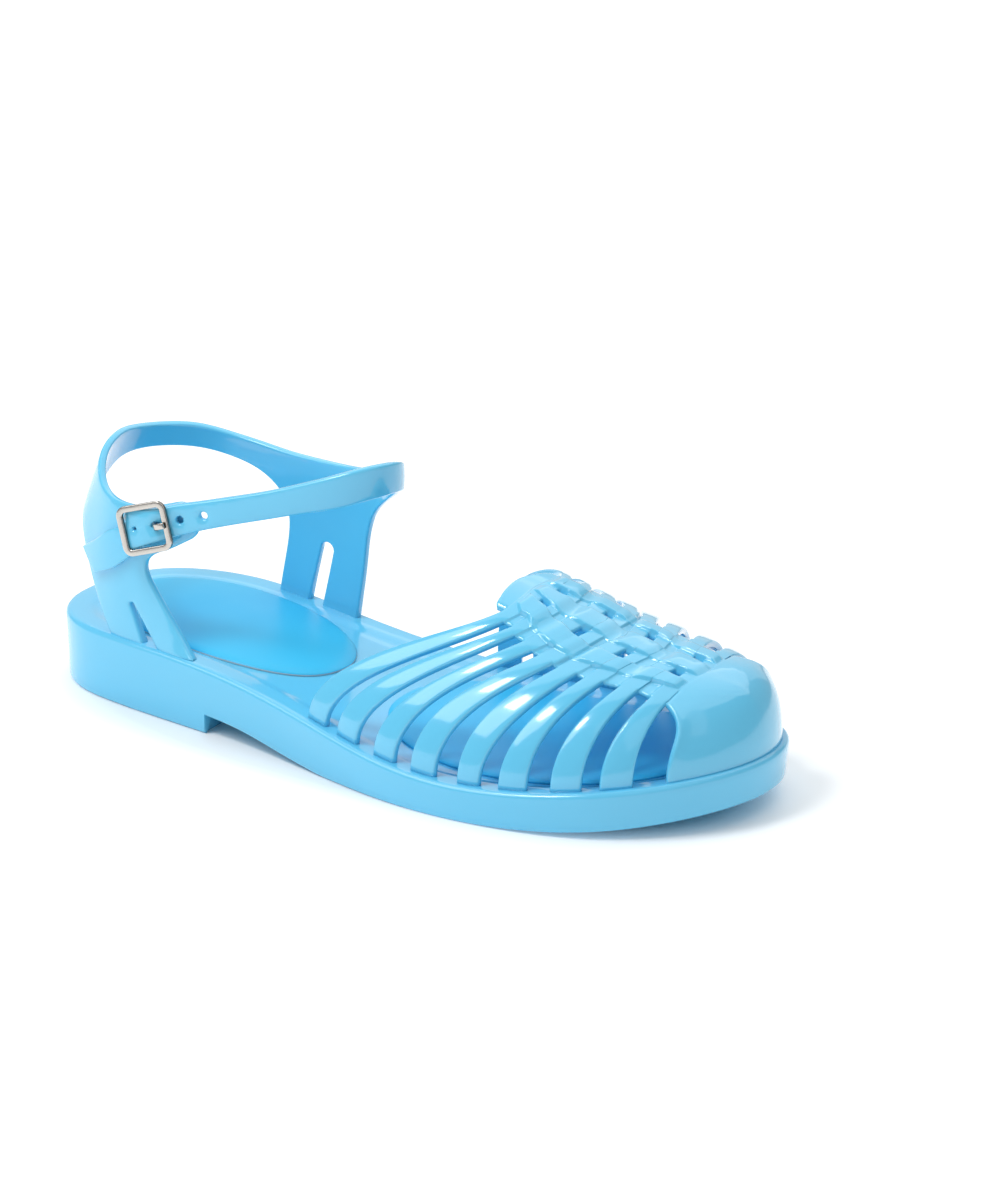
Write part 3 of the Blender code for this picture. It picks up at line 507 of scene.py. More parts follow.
def capLines(side, steps, lastEdge):
    # the toe cap's columns; the first ones lean over to the last strap and bulge round the leaf-shaped gap,
    # by a shift that fades with the square of the share left to the blend's end
    look = vampLook
    start = float(turnOf(look["capBase"]))
    low, high = look["capRidge"]
    step = np.broadcast_to(np.array(steps)[:, None], (len(steps), len(vampRows)))
    blend = np.clip(step / look["capBlend"], 0, 1)
    lastRise = strapRises(side)[-1]
    full, plain = look["archPower"][side], look["archPower"]["outer"]

    def lines(where, rise, power):
        # the lead runs evenly and eases out over its last part, so that both sides meet flush on the ridge
        turn = sideTurn(start + (1 - start) * where, side)
        ease = 1 - look["capEase"]
        lead = (rise - np.maximum(rise - ease, 0) ** 2 / (2 * look["capEase"])) / (1 - look["capEase"] / 2)
        return archPoint(turn, look["capInset"], low + (high - low) * where, rise, lead, power)

    edge = lines(np.zeros(len(vampRows)), lastRise, full)
    share = np.minimum(1.0, vampRows / look["leafTop"])
    shift = (lastEdge - edge) * share[:, None] ** 3
    shift[:, 0] += look["leafBulge"] * np.sin(math.pi * share)
    rise = lastRise + (vampRows - lastRise) * blend
    power = full + (plain - full) * smoothStep(step, 0, 1)
    return lines(step, rise, power) + shift[None] * ((1 - blend) ** 2)[..., None]


def vampColumns():
    # each column: left line, right line, share across, millimetres added, kind, number
    look = vampLook
    found = []
    for strap in range(strapCount):
        left, right = 2 * strap, 2 * strap + 1
        found += [(left, right, 0.0, edge, "strap", strap) for edge in look["strapEdges"]]
        found += [(left, right, share, 0.0, "strap", strap) for share in look["strapShares"]]
        found += [(left, right, 1.0, -edge, "strap", strap) for edge in look["strapEdges"][::-1]]
        if strap < strapCount - 1:
            found.append((right, right + 1, 0.0, look["gapEdge"], "gap", strap))
            found += [(right, right + 1, share, 0.0, "gap", strap) for share in look["gapShares"]]
            found.append((right, right + 1, 1.0, -look["gapEdge"], "gap", strap))
    return found


def vampWalls(columns, widths):
    # height of the outer face: straps over webs outside the bands, raised patches inside them,
    # each pair of straps rolling down to a soft valley by a cubic of the distance from the valley's middle
    look = vampLook
    rise = vampRows
    sideLow, sideHigh, middleLow = look["bandKnots"][1:]
    foot, brow = look["patchEdge"]
    band = smoothStep(rise, sideLow - foot, sideLow + brow)
    band -= smoothStep(rise, sideHigh - brow, sideHigh + foot)
    band += smoothStep(rise, middleLow - foot, middleLow + brow)
    fadeLow, fadeHigh, fadeShare = look["crownFade"]
    crowned = look["strapCrown"] * (1 - fadeShare * smoothStep(rise, fadeLow, fadeHigh))
    walls = np.empty((len(columns), len(rise)))
    for number, (left, right, share, add, kind, index) in enumerate(columns):
        across = np.clip(share + add / widths[left], 0, 1)
        valley = None
        if kind == "strap":
            plain = look["strapWall"] + crowned * (1 - (2 * across - 1) ** 2)
            beside = 2 * index - 1 if index % 2 == 0 else 2 * index + 1
            half = widths[beside] / 2 if 0 < beside < len(widths) else 0.0
            valley = half + (across if index % 2 == 0 else 1 - across) * widths[left]
        else:
            plain = np.full(len(rise), look["webWall"])
            if index % 2 == 1:
                half = widths[left] / 2
                valley = np.abs(across - 0.5) * widths[left]
        patch = np.full(len(rise), look["patchWall"])
        if valley is not None:
            patch = patch - look["valleyDepth"] * (1 - smoothStep(valley, 0.0, half + look["valleyRoll"]))
        walls[number] = plain + (patch - plain) * band
    return walls


def sheetNormals(grid):
    # cross product of the steps along and up the grid, turned away from the foot
    along = np.gradient(grid, axis=0)
    upward = np.gradient(grid, vampRows, axis=1)
    upward[:, 0] = upward[:, 1]
    normal = unit(np.cross(along, upward))
    back, aside, height = vampLook["footCore"]
    size = grid.shape[:2]
    centre = np.stack((grid[..., 0] - back, np.full(size, aside), np.full(size, height)), -1)
    return normal * np.sign((normal * (grid - centre)).sum(-1, keepdims=True))


def vampSide(side, columns):
    # points, outward directions and wall heights of one side: the tongue, the straps and webs, the cap
    look = vampLook
    rise = vampRows
    capSteps, tongueSteps = np.array(look["capSteps"]), np.array(look["tongueSteps"])
    lines = strapLines(side)
    widths = np.linalg.norm(np.diff(lines, axis=0), axis=-1)
    middle = []
    for left, right, part, add, *_ in columns:
        where = part + add / widths[left]
        middle.append(lines[left] + (lines[right] - lines[left]) * where[:, None])
    middle = np.array(middle)
    foot, bend, swell = look["tongue"][side]
    share = np.clip(1 - ((1 - rise) / (look["tongueSpan"] - foot)) ** bend, 0, 1)
    reach = look["tongueLength"] * share ** swell * (rise >= foot - tiny)
    back = np.array((-1.0, 0.0, look["tongueSlope"])) * reach[None, :, None] * tongueSteps[:, None, None]
    strapGrid = np.concatenate((middle[:1] + back, middle))
    capGrid = capLines(side, capSteps, middle[-1])
    strapNormal, capNormal = sheetNormals(strapGrid), sheetNormals(capGrid)
    leafRows = rise >= look["leafTop"]
    strapNormal[-1, leafRows] = unit(strapNormal[-1] + capNormal[0])[leafRows]
    seamStart, seamFull, seamFade, seamEnd = look["seam"]
    seam = smoothStep(rise, seamStart, seamFull) * (1 - smoothStep(rise, seamFade, seamEnd))
    groove = look["seamDepth"] * np.exp(-(capSteps / look["seamWidth"]) ** 2)
    capWalls = look["capWall"] - groove[:, None] * seam[None]
    tongueWalls = np.full((len(tongueSteps), len(rise)), look["tongueWall"])
    return (np.concatenate((strapGrid, capGrid)), np.concatenate((strapNormal, capNormal)),
            np.concatenate((tongueWalls, vampWalls(columns, widths), capWalls)))


def smoothCapTop(piece, points, meeting):
    # the cap's lines meet in one spot on the ridge, smoothed there with a weight that falls with distance
    look = vampLook
    away = np.linalg.norm(points - meeting, axis=1)
    group = piece.vertex_groups.new(name="capTop")
    width = 1 / look["smoothRings"]
    for weight in np.linspace(1.0, width, look["smoothRings"]):
        ring = np.abs(away / look["smoothReach"] - (1 + width - weight)) < width / 2
        group.add(np.flatnonzero(ring).tolist(), weight, "REPLACE")
    smooth = piece.modifiers.new("capSmooth", "SMOOTH")
    smooth.vertex_group = "capTop"
    smooth.factor = look["smoothFactor"]
    smooth.iterations = look["smoothPasses"]


def buildVamp():
    # rows from rim to ridge on both sides, columns from the tongue's edge over the straps to the toe
    look = vampLook
    columns = vampColumns()
    sides = ("outer", "inner")
    points, normals, walls = (np.array(part) for part in zip(*[vampSide(side, columns) for side in sides]))
    rise = vampRows
    tongues = len(look["tongueSteps"])
    firstCap = tongues + len(columns)
    lastStrap = firstCap - 1
    total = firstCap + len(look["capSteps"])
    # both sides share the ridge and the toe, and the last strap shares its edge with the cap above the leaf
    normals[:, :, -1] = unit(normals[0, :, -1] + normals[1, :, -1])
    normals[:, -1] = unit(normals[0, -1] + normals[1, -1])
    number = np.arange(2 * total * len(rise)).reshape(2, total, len(rise))
    leafRows = rise >= look["leafTop"]
    number[:, firstCap, leafRows] = number[:, lastStrap, leafRows]
    number[1, :, -1] = number[0, :, -1]
    number[1, -1] = number[0, -1]
    solid = np.ones((total - 1, len(rise) - 1), bool)
    rowLow = rise[:-1]
    inHole = (rowLow >= look["hole"][0] - tiny) & (rowLow < look["hole"][1] - tiny)
    for k, (first, second) in enumerate(zip(columns[:-1], columns[1:])):
        gaps = [index for *place, kind, index in (first, second) if kind == "gap"]
        if gaps:
            solid[tongues + k] = rowLow >= gapTop - tiny
            if gaps[0] % 2 == 0:
                solid[tongues + k] &= ~inHole
    solid[lastStrap] = False
    cells = []
    for side, ids in zip(sides, number):
        solid[:tongues] = rowLow >= look["tongue"][side][0] - tiny
        quads = np.stack((ids[:-1, :-1], ids[1:, :-1], ids[1:, 1:], ids[:-1, 1:]), -1)[solid]
        cells.append(quads if side == "outer" else quads[:, ::-1])
    buried = np.zeros(number.shape, bool)
    buried[:, :, 0] = True
    made, faces = wallMesh(points.reshape(-1, 3), normals.reshape(-1, 3), np.concatenate(cells),
                           walls.ravel(), buried.ravel(), look["roundOut"], look["roundIn"])
    piece = makePiece("vampWeave", made, faces, "upper_vamp")
    smoothCapTop(piece, made, points[0, -1, -1])
    return piece


# Back strip: tab end, outer quarter, backstrap, inner quarter and ankle strap in one sheet
backLook = {
    "level": 70.0,
    "rows": (  # along, sideways, outward lean, low edge, high edge, at the level above
        (58.5, -16.8, 0.10, 57.5, 67.5), (52.0, -18.2, 0.12, 53.5, 68.0), (45.0, -18.8, 0.14, 47.0, 66.0),
        (34.0, -17.2, 0.16, 42.5, 64.8), (24.5, -11.8, 0.17, 38.5, 67.0), (18.4, -4.5, 0.30, 53.0, 73.0),
        (16.6, 2.0, 0.33, 61.5, 75.6), (16.2, 8.0, 0.34, 65.6, 76.0), (17.6, 14.6, 0.34, 66.8, 75.4),
        (22.0, 22.0, 0.31, 66.6, 74.6), (30.0, 27.8, 0.26, 66.0, 74.0), (40.0, 31.2, 0.20, 64.0, 72.0),
        (50.0, 32.6, 0.17, 61.0, 70.3), (57.5, 33.0, 0.16, 57.0, 69.2), (73.0, 32.6, 0.15, 54.5, 68.8),
        (91.0, 29.6, 0.12, 58.5, 71.0), (101.0, 25.0, 0.05, 65.0, 75.0), (107.6, 19.4, 0.0, 70.4, 79.6),
        (112.0, 13.2, 0.0, 74.0, 83.4), (113.0, 6.8, 0.0, 75.6, 85.6), (110.6, 0.6, 0.0, 75.4, 86.0),
        (104.0, -5.0, 0.0, 73.2, 84.0), (95.0, -9.4, 0.0, 71.0, 80.8), (84.0, -13.2, 0.02, 68.0, 77.0),
        (70.0, -17.2, 0.06, 64.0, 73.0), (60.0, -19.6, 0.10, 60.7, 70.3), (53.6, -21.2, 0.12, 58.3, 68.6),
        (47.4, -23.2, 0.14, 55.6, 66.8), (39.2, -23.4, 0.15, 53.0, 64.6),
    ),
    "innerFront": ((101.5, 65.6), (95.7, 60.8), (90.6, 54.6), (88.0, 47.5), (86.6, 38.0), (85.2, 28.0)),
    "innerFeet": (84.0, 70.8, 65.4, 54.0),
    "innerSlotTop": (72.2, 41.7, 0.42),
    "innerBack": ((55.4, 29.0), (57.0, 37.0), (58.0, 44.5), (57.4, 51.0), (54.6, 56.2), (50.0, 60.2)),
    "outerBack": ((3.62, 31.5), (3.4, 27.0)),
    "outerFeet": (3.12, 45.2, 50.2, 63.2),
    "outerSlotTop": (40.6, 34.6, 0.17),
    "outerFront": ((60.3, 24.3), (56.0, 29.3), (51.4, 35.4), (47.6, 41.4), (45.6, 45.5), (45.4, 48.6),
                   (47.8, 51.5), (51.8, 53.6), (55.7, 55.9)),
    "tabEnd": ((59.0, 57.9), (60.4, 59.6), (60.6, 62.8), (59.4, 66.2), (56.6, 68.6)),
    "wall": 2.3,
    "footWall": 0.7,
    "footPower": 4,
    "footInset": 4.7,
    "footReach": (-2.0, 16.0),
    "footStart": 48.0,  # first guess of the lean's height
    "footRounds": 25,
    "footPace": 0.7,
    "footSamples": 160,
    "rimSamples": 800,
    "blendTop": 54.0,
    "blendPast": 1.1,
    "blendPower": 1.4,
    "sunk": 0.6,
    "buriedRise": 0.25,
    "crown": 0.25,
    "roundOut": 0.8,
    "roundIn": 0.6,
    "spacing": 1.0,
    "samples": 2241,
    "runOut": 14.0,  # how far ahead of the path's start the tab end may reach
    "outerEnd": 4.5,  # station where the outer quarter ends
    "innerEnds": (10.0, 17.5),  # stations between which the inner quarter lies
    "strapFrom": 17,  # first station whose low edge is the ankle strap's
    "heelStations": (11, 10, 9, 8, 7, 6, 5, 4),
    "heelFoot": 32.0,
    "tipReach": 1.6,
    "tipStart": 0.5,
    "tipShoulder": (1.2, 2.6),
    "edgeRings": (0.07, 0.22, 0.45, 0.8),
    "fieldStep": 1.9,
    "fieldHeights": (18, 90),
    "fieldMargin": 4,
    "fieldClear": 1.35,
    "holeClear": 0.999,
}
lowEdge, highEdge = 3, 4  # columns of the rows above
stripPath = smoothCurve(range(len(backLook["rows"])), backLook["rows"])
stationSamples = np.linspace(0, len(backLook["rows"]) - 1, backLook["samples"])
pathSamples = stripPath(stationSamples)
lengthSamples = runLength(pathSamples[:, :2])
tangentSamples = unit(np.gradient(pathSamples[:, :2], axis=0))


def lengthAt(station):
    return np.interp(station, stationSamples, lengthSamples)


def stationAt(length):
    return np.interp(length, lengthSamples, stationSamples)


def lengthAtX(x, side):
    # where the path passes x on the outer or the inner side; ahead of its start it runs on straight
    if side == "inner":
        first, last = backLook["innerEnds"]
        pick = (stationSamples > first) & (stationSamples < last)
        return np.interp(x, pathSamples[pick, 0], lengthSamples[pick])
    pick = stationSamples < backLook["outerEnd"]
    found = np.interp(x, pathSamples[pick, 0][::-1], lengthSamples[pick][::-1])
    return np.where(x > pathSamples[0, 0], (x - pathSamples[0, 0]) / tangentSamples[0, 0], found)


def pathFrame(length):
    # plan point, outward direction and lean at a length along the path
    inside = np.clip(length, 0, lengthSamples[-1])
    read = [np.interp(inside, lengthSamples, pathSamples[:, k]) for k in range(3)]
    tangent = unit(np.stack([np.interp(inside, lengthSamples, tangentSamples[:, k]) for k in range(2)], -1))
    plan = np.stack(read[:2], -1) + tangent * np.minimum(length, 0)[..., None]
    out = np.stack((-tangent[..., 1], tangent[..., 0]), -1)
    return plan, out, read[2]


def footOffsets():
    # how far the wall stands out from its path at the rim, so that its foot keeps its inset from the outline
    look = backLook
    edge = outlinePoint(np.linspace(0, 2, look["rimSamples"], endpoint=False))
    length = np.linspace(-look["runOut"], lengthAt(look["innerEnds"][1]), look["footSamples"])
    plan, out, lean = pathFrame(length)
    offset = lean * look["footStart"]
    for _ in range(look["footRounds"]):
        spot = plan + out * offset[:, None]
        inset = np.linalg.norm(spot[:, None] - edge[None], axis=-1).min(1)
        offset = offset + look["footPace"] * (inset - look["footInset"])
    return length, np.clip(offset, *look["footReach"])


footLength, footOffset = footOffsets()


def backPoint(length, height, offset=0.0):
    # the sheet's inner face: the path leaning outwards, blended to the foot's line below the straps
    look = backLook
    length, height = np.asarray(length, float), np.asarray(height, float)
    plan, out, lean = pathFrame(length)
    rim = rimHeight(plan[..., 0])
    leaned = lean * (look["level"] - height)
    foot = np.interp(length, footLength, footOffset)
    share = np.clip((look["blendTop"] - height) / (look["blendTop"] - rim), 0, look["blendPast"])
    leaned = leaned + (foot - lean * (look["level"] - rim)) * share ** look["blendPower"]
    spot = plan + out * (leaned + offset)[..., None]
    return np.concatenate((spot, height[..., None]), -1)


def backNormal(length, height):
    step = 0.05
    along = backPoint(length + step, height) - backPoint(length - step, height)
    upward = backPoint(length, height + step) - backPoint(length, height - step)
    return unit(np.cross(upward, along))


def evenCurve(spots, spacing):
    # smooth curve through the spots, read at even steps, without its last point
    spots = np.array(spots, float)
    readings = 60 * len(spots)
    chord = runLength(spots)
    fine = smoothCurve(chord, spots)(np.linspace(0, chord[-1], readings))
    run = runLength(fine)
    where = np.linspace(0, run[-1], max(2, int(round(run[-1] / spacing)) + 1))
    return np.stack([np.interp(where, run, fine[:, k]) for k in range(2)], -1)[:-1]


def slotCurve(first, last, top, width, spacing, arcPoints=9):
    # from the first foot up one side, round the top and down to the last foot
    first, last, top = np.array(first), np.array(last), np.array(top)
    radius = width * np.linalg.norm(last - first)
    middle = top - (0.0, radius)
    angle = np.linspace(0, math.pi, arcPoints)
    reach = np.sign(first[0] - last[0]) * radius
    arc = np.stack((middle[0] + reach * np.cos(angle), middle[1] + radius * np.sin(angle)), -1)

    def straight(a, b):
        count = max(2, int(np.linalg.norm(b - a) / spacing))
        return a + (b - a) * np.linspace(0, 1, count)[:-1, None]

    return np.concatenate((straight(first, arc[0]), arc[:-1], straight(arc[-1], last)))


def backOutline():
    # closed outline of the sheet in length along the path and height
    look = backLook
    spacing = look["spacing"]
    last = len(look["rows"]) - 1

    def edgeAt(station, column):
        return lengthAt(station), float(stripPath(station)[column])

    def spotAt(spot, side):
        return float(lengthAtX(spot[0], side)), spot[1]

    def spotsAt(name, side):
        return [spotAt(spot, side) for spot in look[name]]

    def foot(x):
        return float(rimHeight(x)) - look["sunk"]

    def feetAt(places, side):
        return [(float(lengthAtX(x, side)), foot(x)) for x in places]

    def flat(a, b):
        return evenCurve([a, ((a[0] + b[0]) / 2, (a[1] + b[1]) / 2), b], spacing)

    def slot(feet, name, side):
        return slotCurve(*feet, spotAt(look[name], side), look[name][2], spacing)

    tip, tipLow = edgeAt(last, highEdge), edgeAt(last, lowEdge)
    tipAhead, tipAside = look["tipShoulder"]
    middle = (tip[0] + look["tipReach"], (tip[1] + tipLow[1]) / 2)
    top = evenCurve(
        spotsAt("tabEnd", "outer") + [edgeAt(k, highEdge) for k in range(1, last)]
        + [(tip[0] - look["tipStart"], tip[1]), (tip[0] + tipAhead, middle[1] + tipAside), middle], spacing)
    innerFeet = feetAt(look["innerFeet"], "inner")
    front = evenCurve(
        [middle, (tip[0] + tipAhead, middle[1] - tipAside), (tipLow[0] - look["tipStart"], tipLow[1])]
        + [edgeAt(k, lowEdge) for k in range(last - 1, look["strapFrom"] - 1, -1)]
        + spotsAt("innerFront", "inner") + innerFeet[:1], spacing)
    innerSlot = slot(innerFeet[1:3], "innerSlotTop", "inner")
    backFoot = (float(lengthAt(look["outerFeet"][0])), foot(look["heelFoot"]))
    heel = evenCurve(
        innerFeet[3:] + spotsAt("innerBack", "inner") + [edgeAt(k, lowEdge) for k in look["heelStations"]]
        + [(float(lengthAt(station)), height) for station, height in look["outerBack"]] + [backFoot], spacing)
    outerFeet = feetAt(look["outerFeet"][1:], "outer")
    outerSlot = slot(outerFeet[:2], "outerSlotTop", "outer")
    outerSide = evenCurve(
        outerFeet[2:] + spotsAt("outerFront", "outer") + [spotAt(look["tabEnd"][0], "outer")], spacing)
    return np.concatenate((
        top, front, flat(*innerFeet[:2]), innerSlot, flat(*innerFeet[2:]), heel,
        flat(backFoot, outerFeet[0]), outerSlot, flat(*outerFeet[1:]), outerSide))


def insideOutline(spots, outline):
    # even-odd count of outline edges to the right of each spot
    a, b = outline, np.roll(outline, -1, axis=0)
    crosses = (a[None, :, 1] > spots[:, None, 1]) != (b[None, :, 1] > spots[:, None, 1])
    rise = np.where(b[:, 1] == a[:, 1], tiny, b[:, 1] - a[:, 1])
    where = a[None, :, 0] + (spots[:, None, 1] - a[None, :, 1]) * ((b[:, 0] - a[:, 0]) / rise)[None]
    return (crosses & (where > spots[:, None, 0])).sum(1) % 2 == 1


# Buckle sizes shared by the strap's holes and the steel
buckleLook = {
    "station": 27.1,
    "level": 61.1,
    "fall": 2.45,  # height lost over one station
    "reach": 0.6,  # stations to each side that give the frame's direction
    "faceLift": 2.4,
    "length": 14.7,
    "height": 13.6,
    "corner": 2.1,
    "cornerPoints": 9,
    "straightPoints": 5,
    "wire": (1.0, 0.72),
    "wirePower": 5.0,
    "wireSides": 28,
    "shadeSines": (0.1, 0.6),  # sines of the section's angle between which the painted dark reflection on the flanks gives way to the bright face
    "prong": (0.95, 0.45),
    "prongPower": 4.5,
    "prongSides": 20,
    "prongSpacing": 0.45,
    "loop": 1.4,
    "loopAngles": (240, 260, 280),
    "prongHole": 3.2,
    "prongUnder": ((1.6, -3.6), (3.2, -4.3), (6.0, -4.0)),  # ahead of the back bar, outwards
    "prongRise": ((-1.8, -3.7), (-0.5, -2.9), (-0.1, -1.4), (0.3, 0.4), (1.4, 1.25)),  # from the hole
    "prongEnd": ((-0.8, 1.5), (0.3, 1.45)),  # from the front bar
    "holes": ((-3.5, 0.5, 0.5), (3.2, 1.6, 1.1), (10.7, 1.15, 1.15), (18.7, 1.15, 1.15)),  # ahead, half sizes
    "holeShare": 0.96,  # length on the path for a millimetre on the strap's face
    "holePoints": 20,
    "holeRings": (0.1, 0.3, 0.6),
}


def strapHoles():
    # centre and half sizes of each hole, on the strap's middle line
    start = lengthAt(buckleLook["station"])
    found = []
    for away, *half in buckleLook["holes"]:
        length = start - buckleLook["holeShare"] * away
        row = stripPath(stationAt(length))
        found.append((np.array((length, (row[lowEdge] + row[highEdge]) / 2)), np.array(half)))
    return found


def buildBack():
    # outline, rings just inside it for the rolled edge and an even field of points,
    # joined by triangles and given a wall
    look = backLook
    outline = backOutline()
    along = unit(np.roll(outline, -1, axis=0) - np.roll(outline, 1, axis=0))
    inward = np.stack((along[:, 1], -along[:, 0]), -1)
    rings = [outline + inward * d for d in look["edgeRings"]]
    loops = [outline]
    angle = circleAngles(buckleLook["holePoints"])
    circle = np.stack((np.cos(angle), np.sin(angle)), -1)
    for centre, half in strapHoles():
        loops.append(centre + circle * half)
        rings += [centre + circle * (half + d) for d in buckleLook["holeRings"]]
    step = look["fieldStep"]
    lengths = np.arange(-look["runOut"], lengthSamples[-1] + look["fieldMargin"], step)
    length, height = np.meshgrid(lengths, np.arange(*look["fieldHeights"], step), indexing="ij")
    field = np.stack((length + step / 2 * (np.round(height / step) % 2), height), -1).reshape(-1, 2)
    field = field[insideOutline(field, outline)]
    edge = np.concatenate(loops)
    far = np.linalg.norm(field[:, None] - edge[None], axis=-1).min(1) > look["fieldClear"]
    rings = np.concatenate(rings)
    rings = rings[insideOutline(rings, outline)]
    spots = np.concatenate((edge, rings, field[far]))
    links, start = [], 0
    for loop in loops:
        ids = np.arange(len(loop)) + start
        links += np.stack((ids, np.roll(ids, -1)), -1).tolist()
        start += len(loop)
    inside, merge = 1, 1e-5  # the triangles to keep, and how near two points are one
    made = geometry.delaunay_2d_cdt([Vector(spot) for spot in spots.tolist()], links, [], inside, merge)
    flat = np.array([tuple(spot) for spot in made[0]])
    cells = np.array([face for face in made[2] if len(face) == 3])
    middle = flat[cells].mean(1)
    keep = insideOutline(middle, outline)
    for centre, half in strapHoles():
        keep &= (((middle - centre) / half) ** 2).sum(1) > look["holeClear"]
    cells = cells[keep]
    points = backPoint(flat[:, 0], flat[:, 1])
    normals = backNormal(flat[:, 0], flat[:, 1])
    rim = rimHeight(points[:, 0])
    down = np.clip((look["blendTop"] - flat[:, 1]) / (look["blendTop"] - rim), 0, 1)
    walls = look["wall"] + look["footWall"] * down ** look["footPower"]
    buried = flat[:, 1] < rim - look["sunk"] + look["buriedRise"]
    a, b, c = points[cells].swapaxes(0, 1)
    flip = (np.cross(b - a, c - a) * normals[cells[:, 0]]).sum(-1) < 0
    cells[flip] = cells[flip][:, ::-1]
    made, faces = wallMesh(points, normals, cells, walls, buried,
                           look["roundOut"], look["roundIn"], look["crown"])
    return makePiece("backStrip", made, faces, "upper_back")


# Buckle tab
tabLook = {
    "rows": (  # station, low edge, high edge
        (2.1, 52.6, 55.6), (2.5, 49.0, 57.8), (2.92, 45.2, 57.0),
        (3.3, 43.2, 53.2), (3.7, 41.8, 49.6), (4.14, 40.6, 46.2),
    ),
    "lift": 2.5,
    "wall": 2.1,
    "crown": 0.2,
    "roundOut": 0.5,
    "roundIn": 0.4,
    "slant": 7.0,  # how far the back end's low corner is drawn forward
    "edgeSteps": (0.0, 0.06, 0.2, 0.4, 0.7),
    "plainStart": 1.4,
    "plainColumns": 16,
    "plainRows": (0.18, 0.82, 6),
}


def buildTab():
    # a band along the outer quarter: stations along it, millimetre steps across it,
    # its back end slanted by a share of the squared run
    look = tabLook
    path = tableCurve(look["rows"])
    start, end = lengthAt(look["rows"][0][0]), lengthAt(look["rows"][-1][0])
    span = float(end - start)
    steps, plain = np.array(look["edgeSteps"]), look["plainStart"]
    plainSteps = np.linspace(plain, span - plain, look["plainColumns"])
    run = np.concatenate((steps, plainSteps, span - steps[::-1])) / span
    stations = stationAt(start + run * span)
    low, high = path(stations).T
    tall = (high - low)[:, None]
    plainRows = np.linspace(*look["plainRows"])
    rows = np.concatenate((steps[None] / tall, np.broadcast_to(plainRows, (len(run), len(plainRows))),
                           1 - steps[None, ::-1] / tall), 1)
    height = low[:, None] + tall * rows
    length = lengthAt(stations)[:, None] - look["slant"] * (1 - rows) * run[:, None] ** 2
    points = backPoint(length, height, np.full(height.shape, look["lift"]))
    normals = backNormal(length, height)
    made, faces = wallMesh(
        points.reshape(-1, 3), normals.reshape(-1, 3), gridFaces(*height.shape),
        np.full(height.size, look["wall"]), np.zeros(height.size, bool),
        look["roundOut"], look["roundIn"], look["crown"])
    return makePiece("buckleBand", made, faces, "buckle_tab")


# Buckle steel
def buckleAxes():
    # middle of the frame on the strap's outer face, the strap's direction, up and outwards
    look = buckleLook
    station, level, reach = look["station"], look["level"], look["reach"]
    ends = [backPoint(lengthAt(station + d), level - look["fall"] * d) for d in (-reach, reach)]
    along = unit(ends[0] - ends[1])
    tall = backPoint(lengthAt(station), level + 1.0) - backPoint(lengthAt(station), level - 1.0)
    out = unit(np.cross(along, tall))
    up = np.cross(out, along)
    middle = backPoint(lengthAt(station), level, look["faceLift"])
    return middle, along, up, out


def sweptBar(path, across, upward, half, sides, power, closed):
    # superellipse section carried along a path, with open ends drawn in to a blunt point
    wide, tall = np.array(superEllipse(circleAngles(sides), power)) * np.array(half)[:, None]
    scale = np.ones(len(path))
    if not closed:
        tipScale, tipPush = (0.02, 0.7), np.array((0.42, 0.28)) * half[1]
        twice = np.concatenate(((0, 0), np.arange(len(path)), (-1, -1)))
        path, across, upward = path[twice], across[twice], upward[twice]
        ahead = unit(np.stack((path[2] - path[3], path[-3] - path[-4])))
        scale = np.concatenate((tipScale, scale, tipScale[::-1]))
        path[:2] += ahead[0] * tipPush[:, None]
        path[-2:] += ahead[1] * tipPush[::-1, None]
    ring = across[:, None] * wide[:, None] + upward[:, None] * tall[:, None]
    points = (path[:, None] + ring * scale[:, None, None]).reshape(-1, 3)
    if closed:
        return points, (gridFaces(len(path) + 1, sides, wrap=True) % len(points)).tolist()
    faces = gridFaces(len(path), sides, wrap=True).tolist()
    return points, faces + [list(range(sides)), list(range(len(points) - sides, len(points)))]


def markSides(piece, sides):
    # 0 on the bar's outer face, 1 on its flanks and underside, which get a painted dark reflection
    mark = 1 - smoothStep(np.sin(circleAngles(sides)), *buckleLook["shadeSines"])
    writeMark(piece, "barShade", np.tile(mark, len(piece.data.vertices) // sides))


def buildFrame():
    # rounded square of bent wire, flattened a little where it lies on the strap
    look = buckleLook
    middle, along, up, out = buckleAxes()
    corner, sides = look["corner"], look["wireSides"]
    inside = np.array((look["length"], look["height"])) / 2 - corner
    signs = np.array(((1, 1), (-1, 1), (-1, -1), (1, -1)))
    shares = np.linspace(0, 1, look["straightPoints"] + 2)[1:-1, None]
    flat = []
    for quarter in range(4):
        turn = np.radians(np.linspace(0, 90, look["cornerPoints"]) + 90 * quarter)
        arc = corner * np.stack((np.cos(turn), np.sin(turn)), -1)
        spot = signs[quarter] * inside + arc[-1]
        following = signs[(quarter + 1) % 4] * inside + arc[-1]
        flat += [signs[quarter] * inside + arc, spot + (following - spot) * shares]
    flat = np.concatenate(flat)
    tangent = unit(np.roll(flat, -1, axis=0) - np.roll(flat, 1, axis=0))
    path = middle + flat[:, :1] * along + flat[:, 1:] * up
    aside = tangent[:, 1:] * along - tangent[:, :1] * up
    upward = np.broadcast_to(out, path.shape)
    points, faces = sweptBar(path, aside, upward, look["wire"], sides, look["wirePower"], True)
    piece = makePiece("buckleFrame", points, faces, "buckle_frame")
    markSides(piece, sides)
    return piece


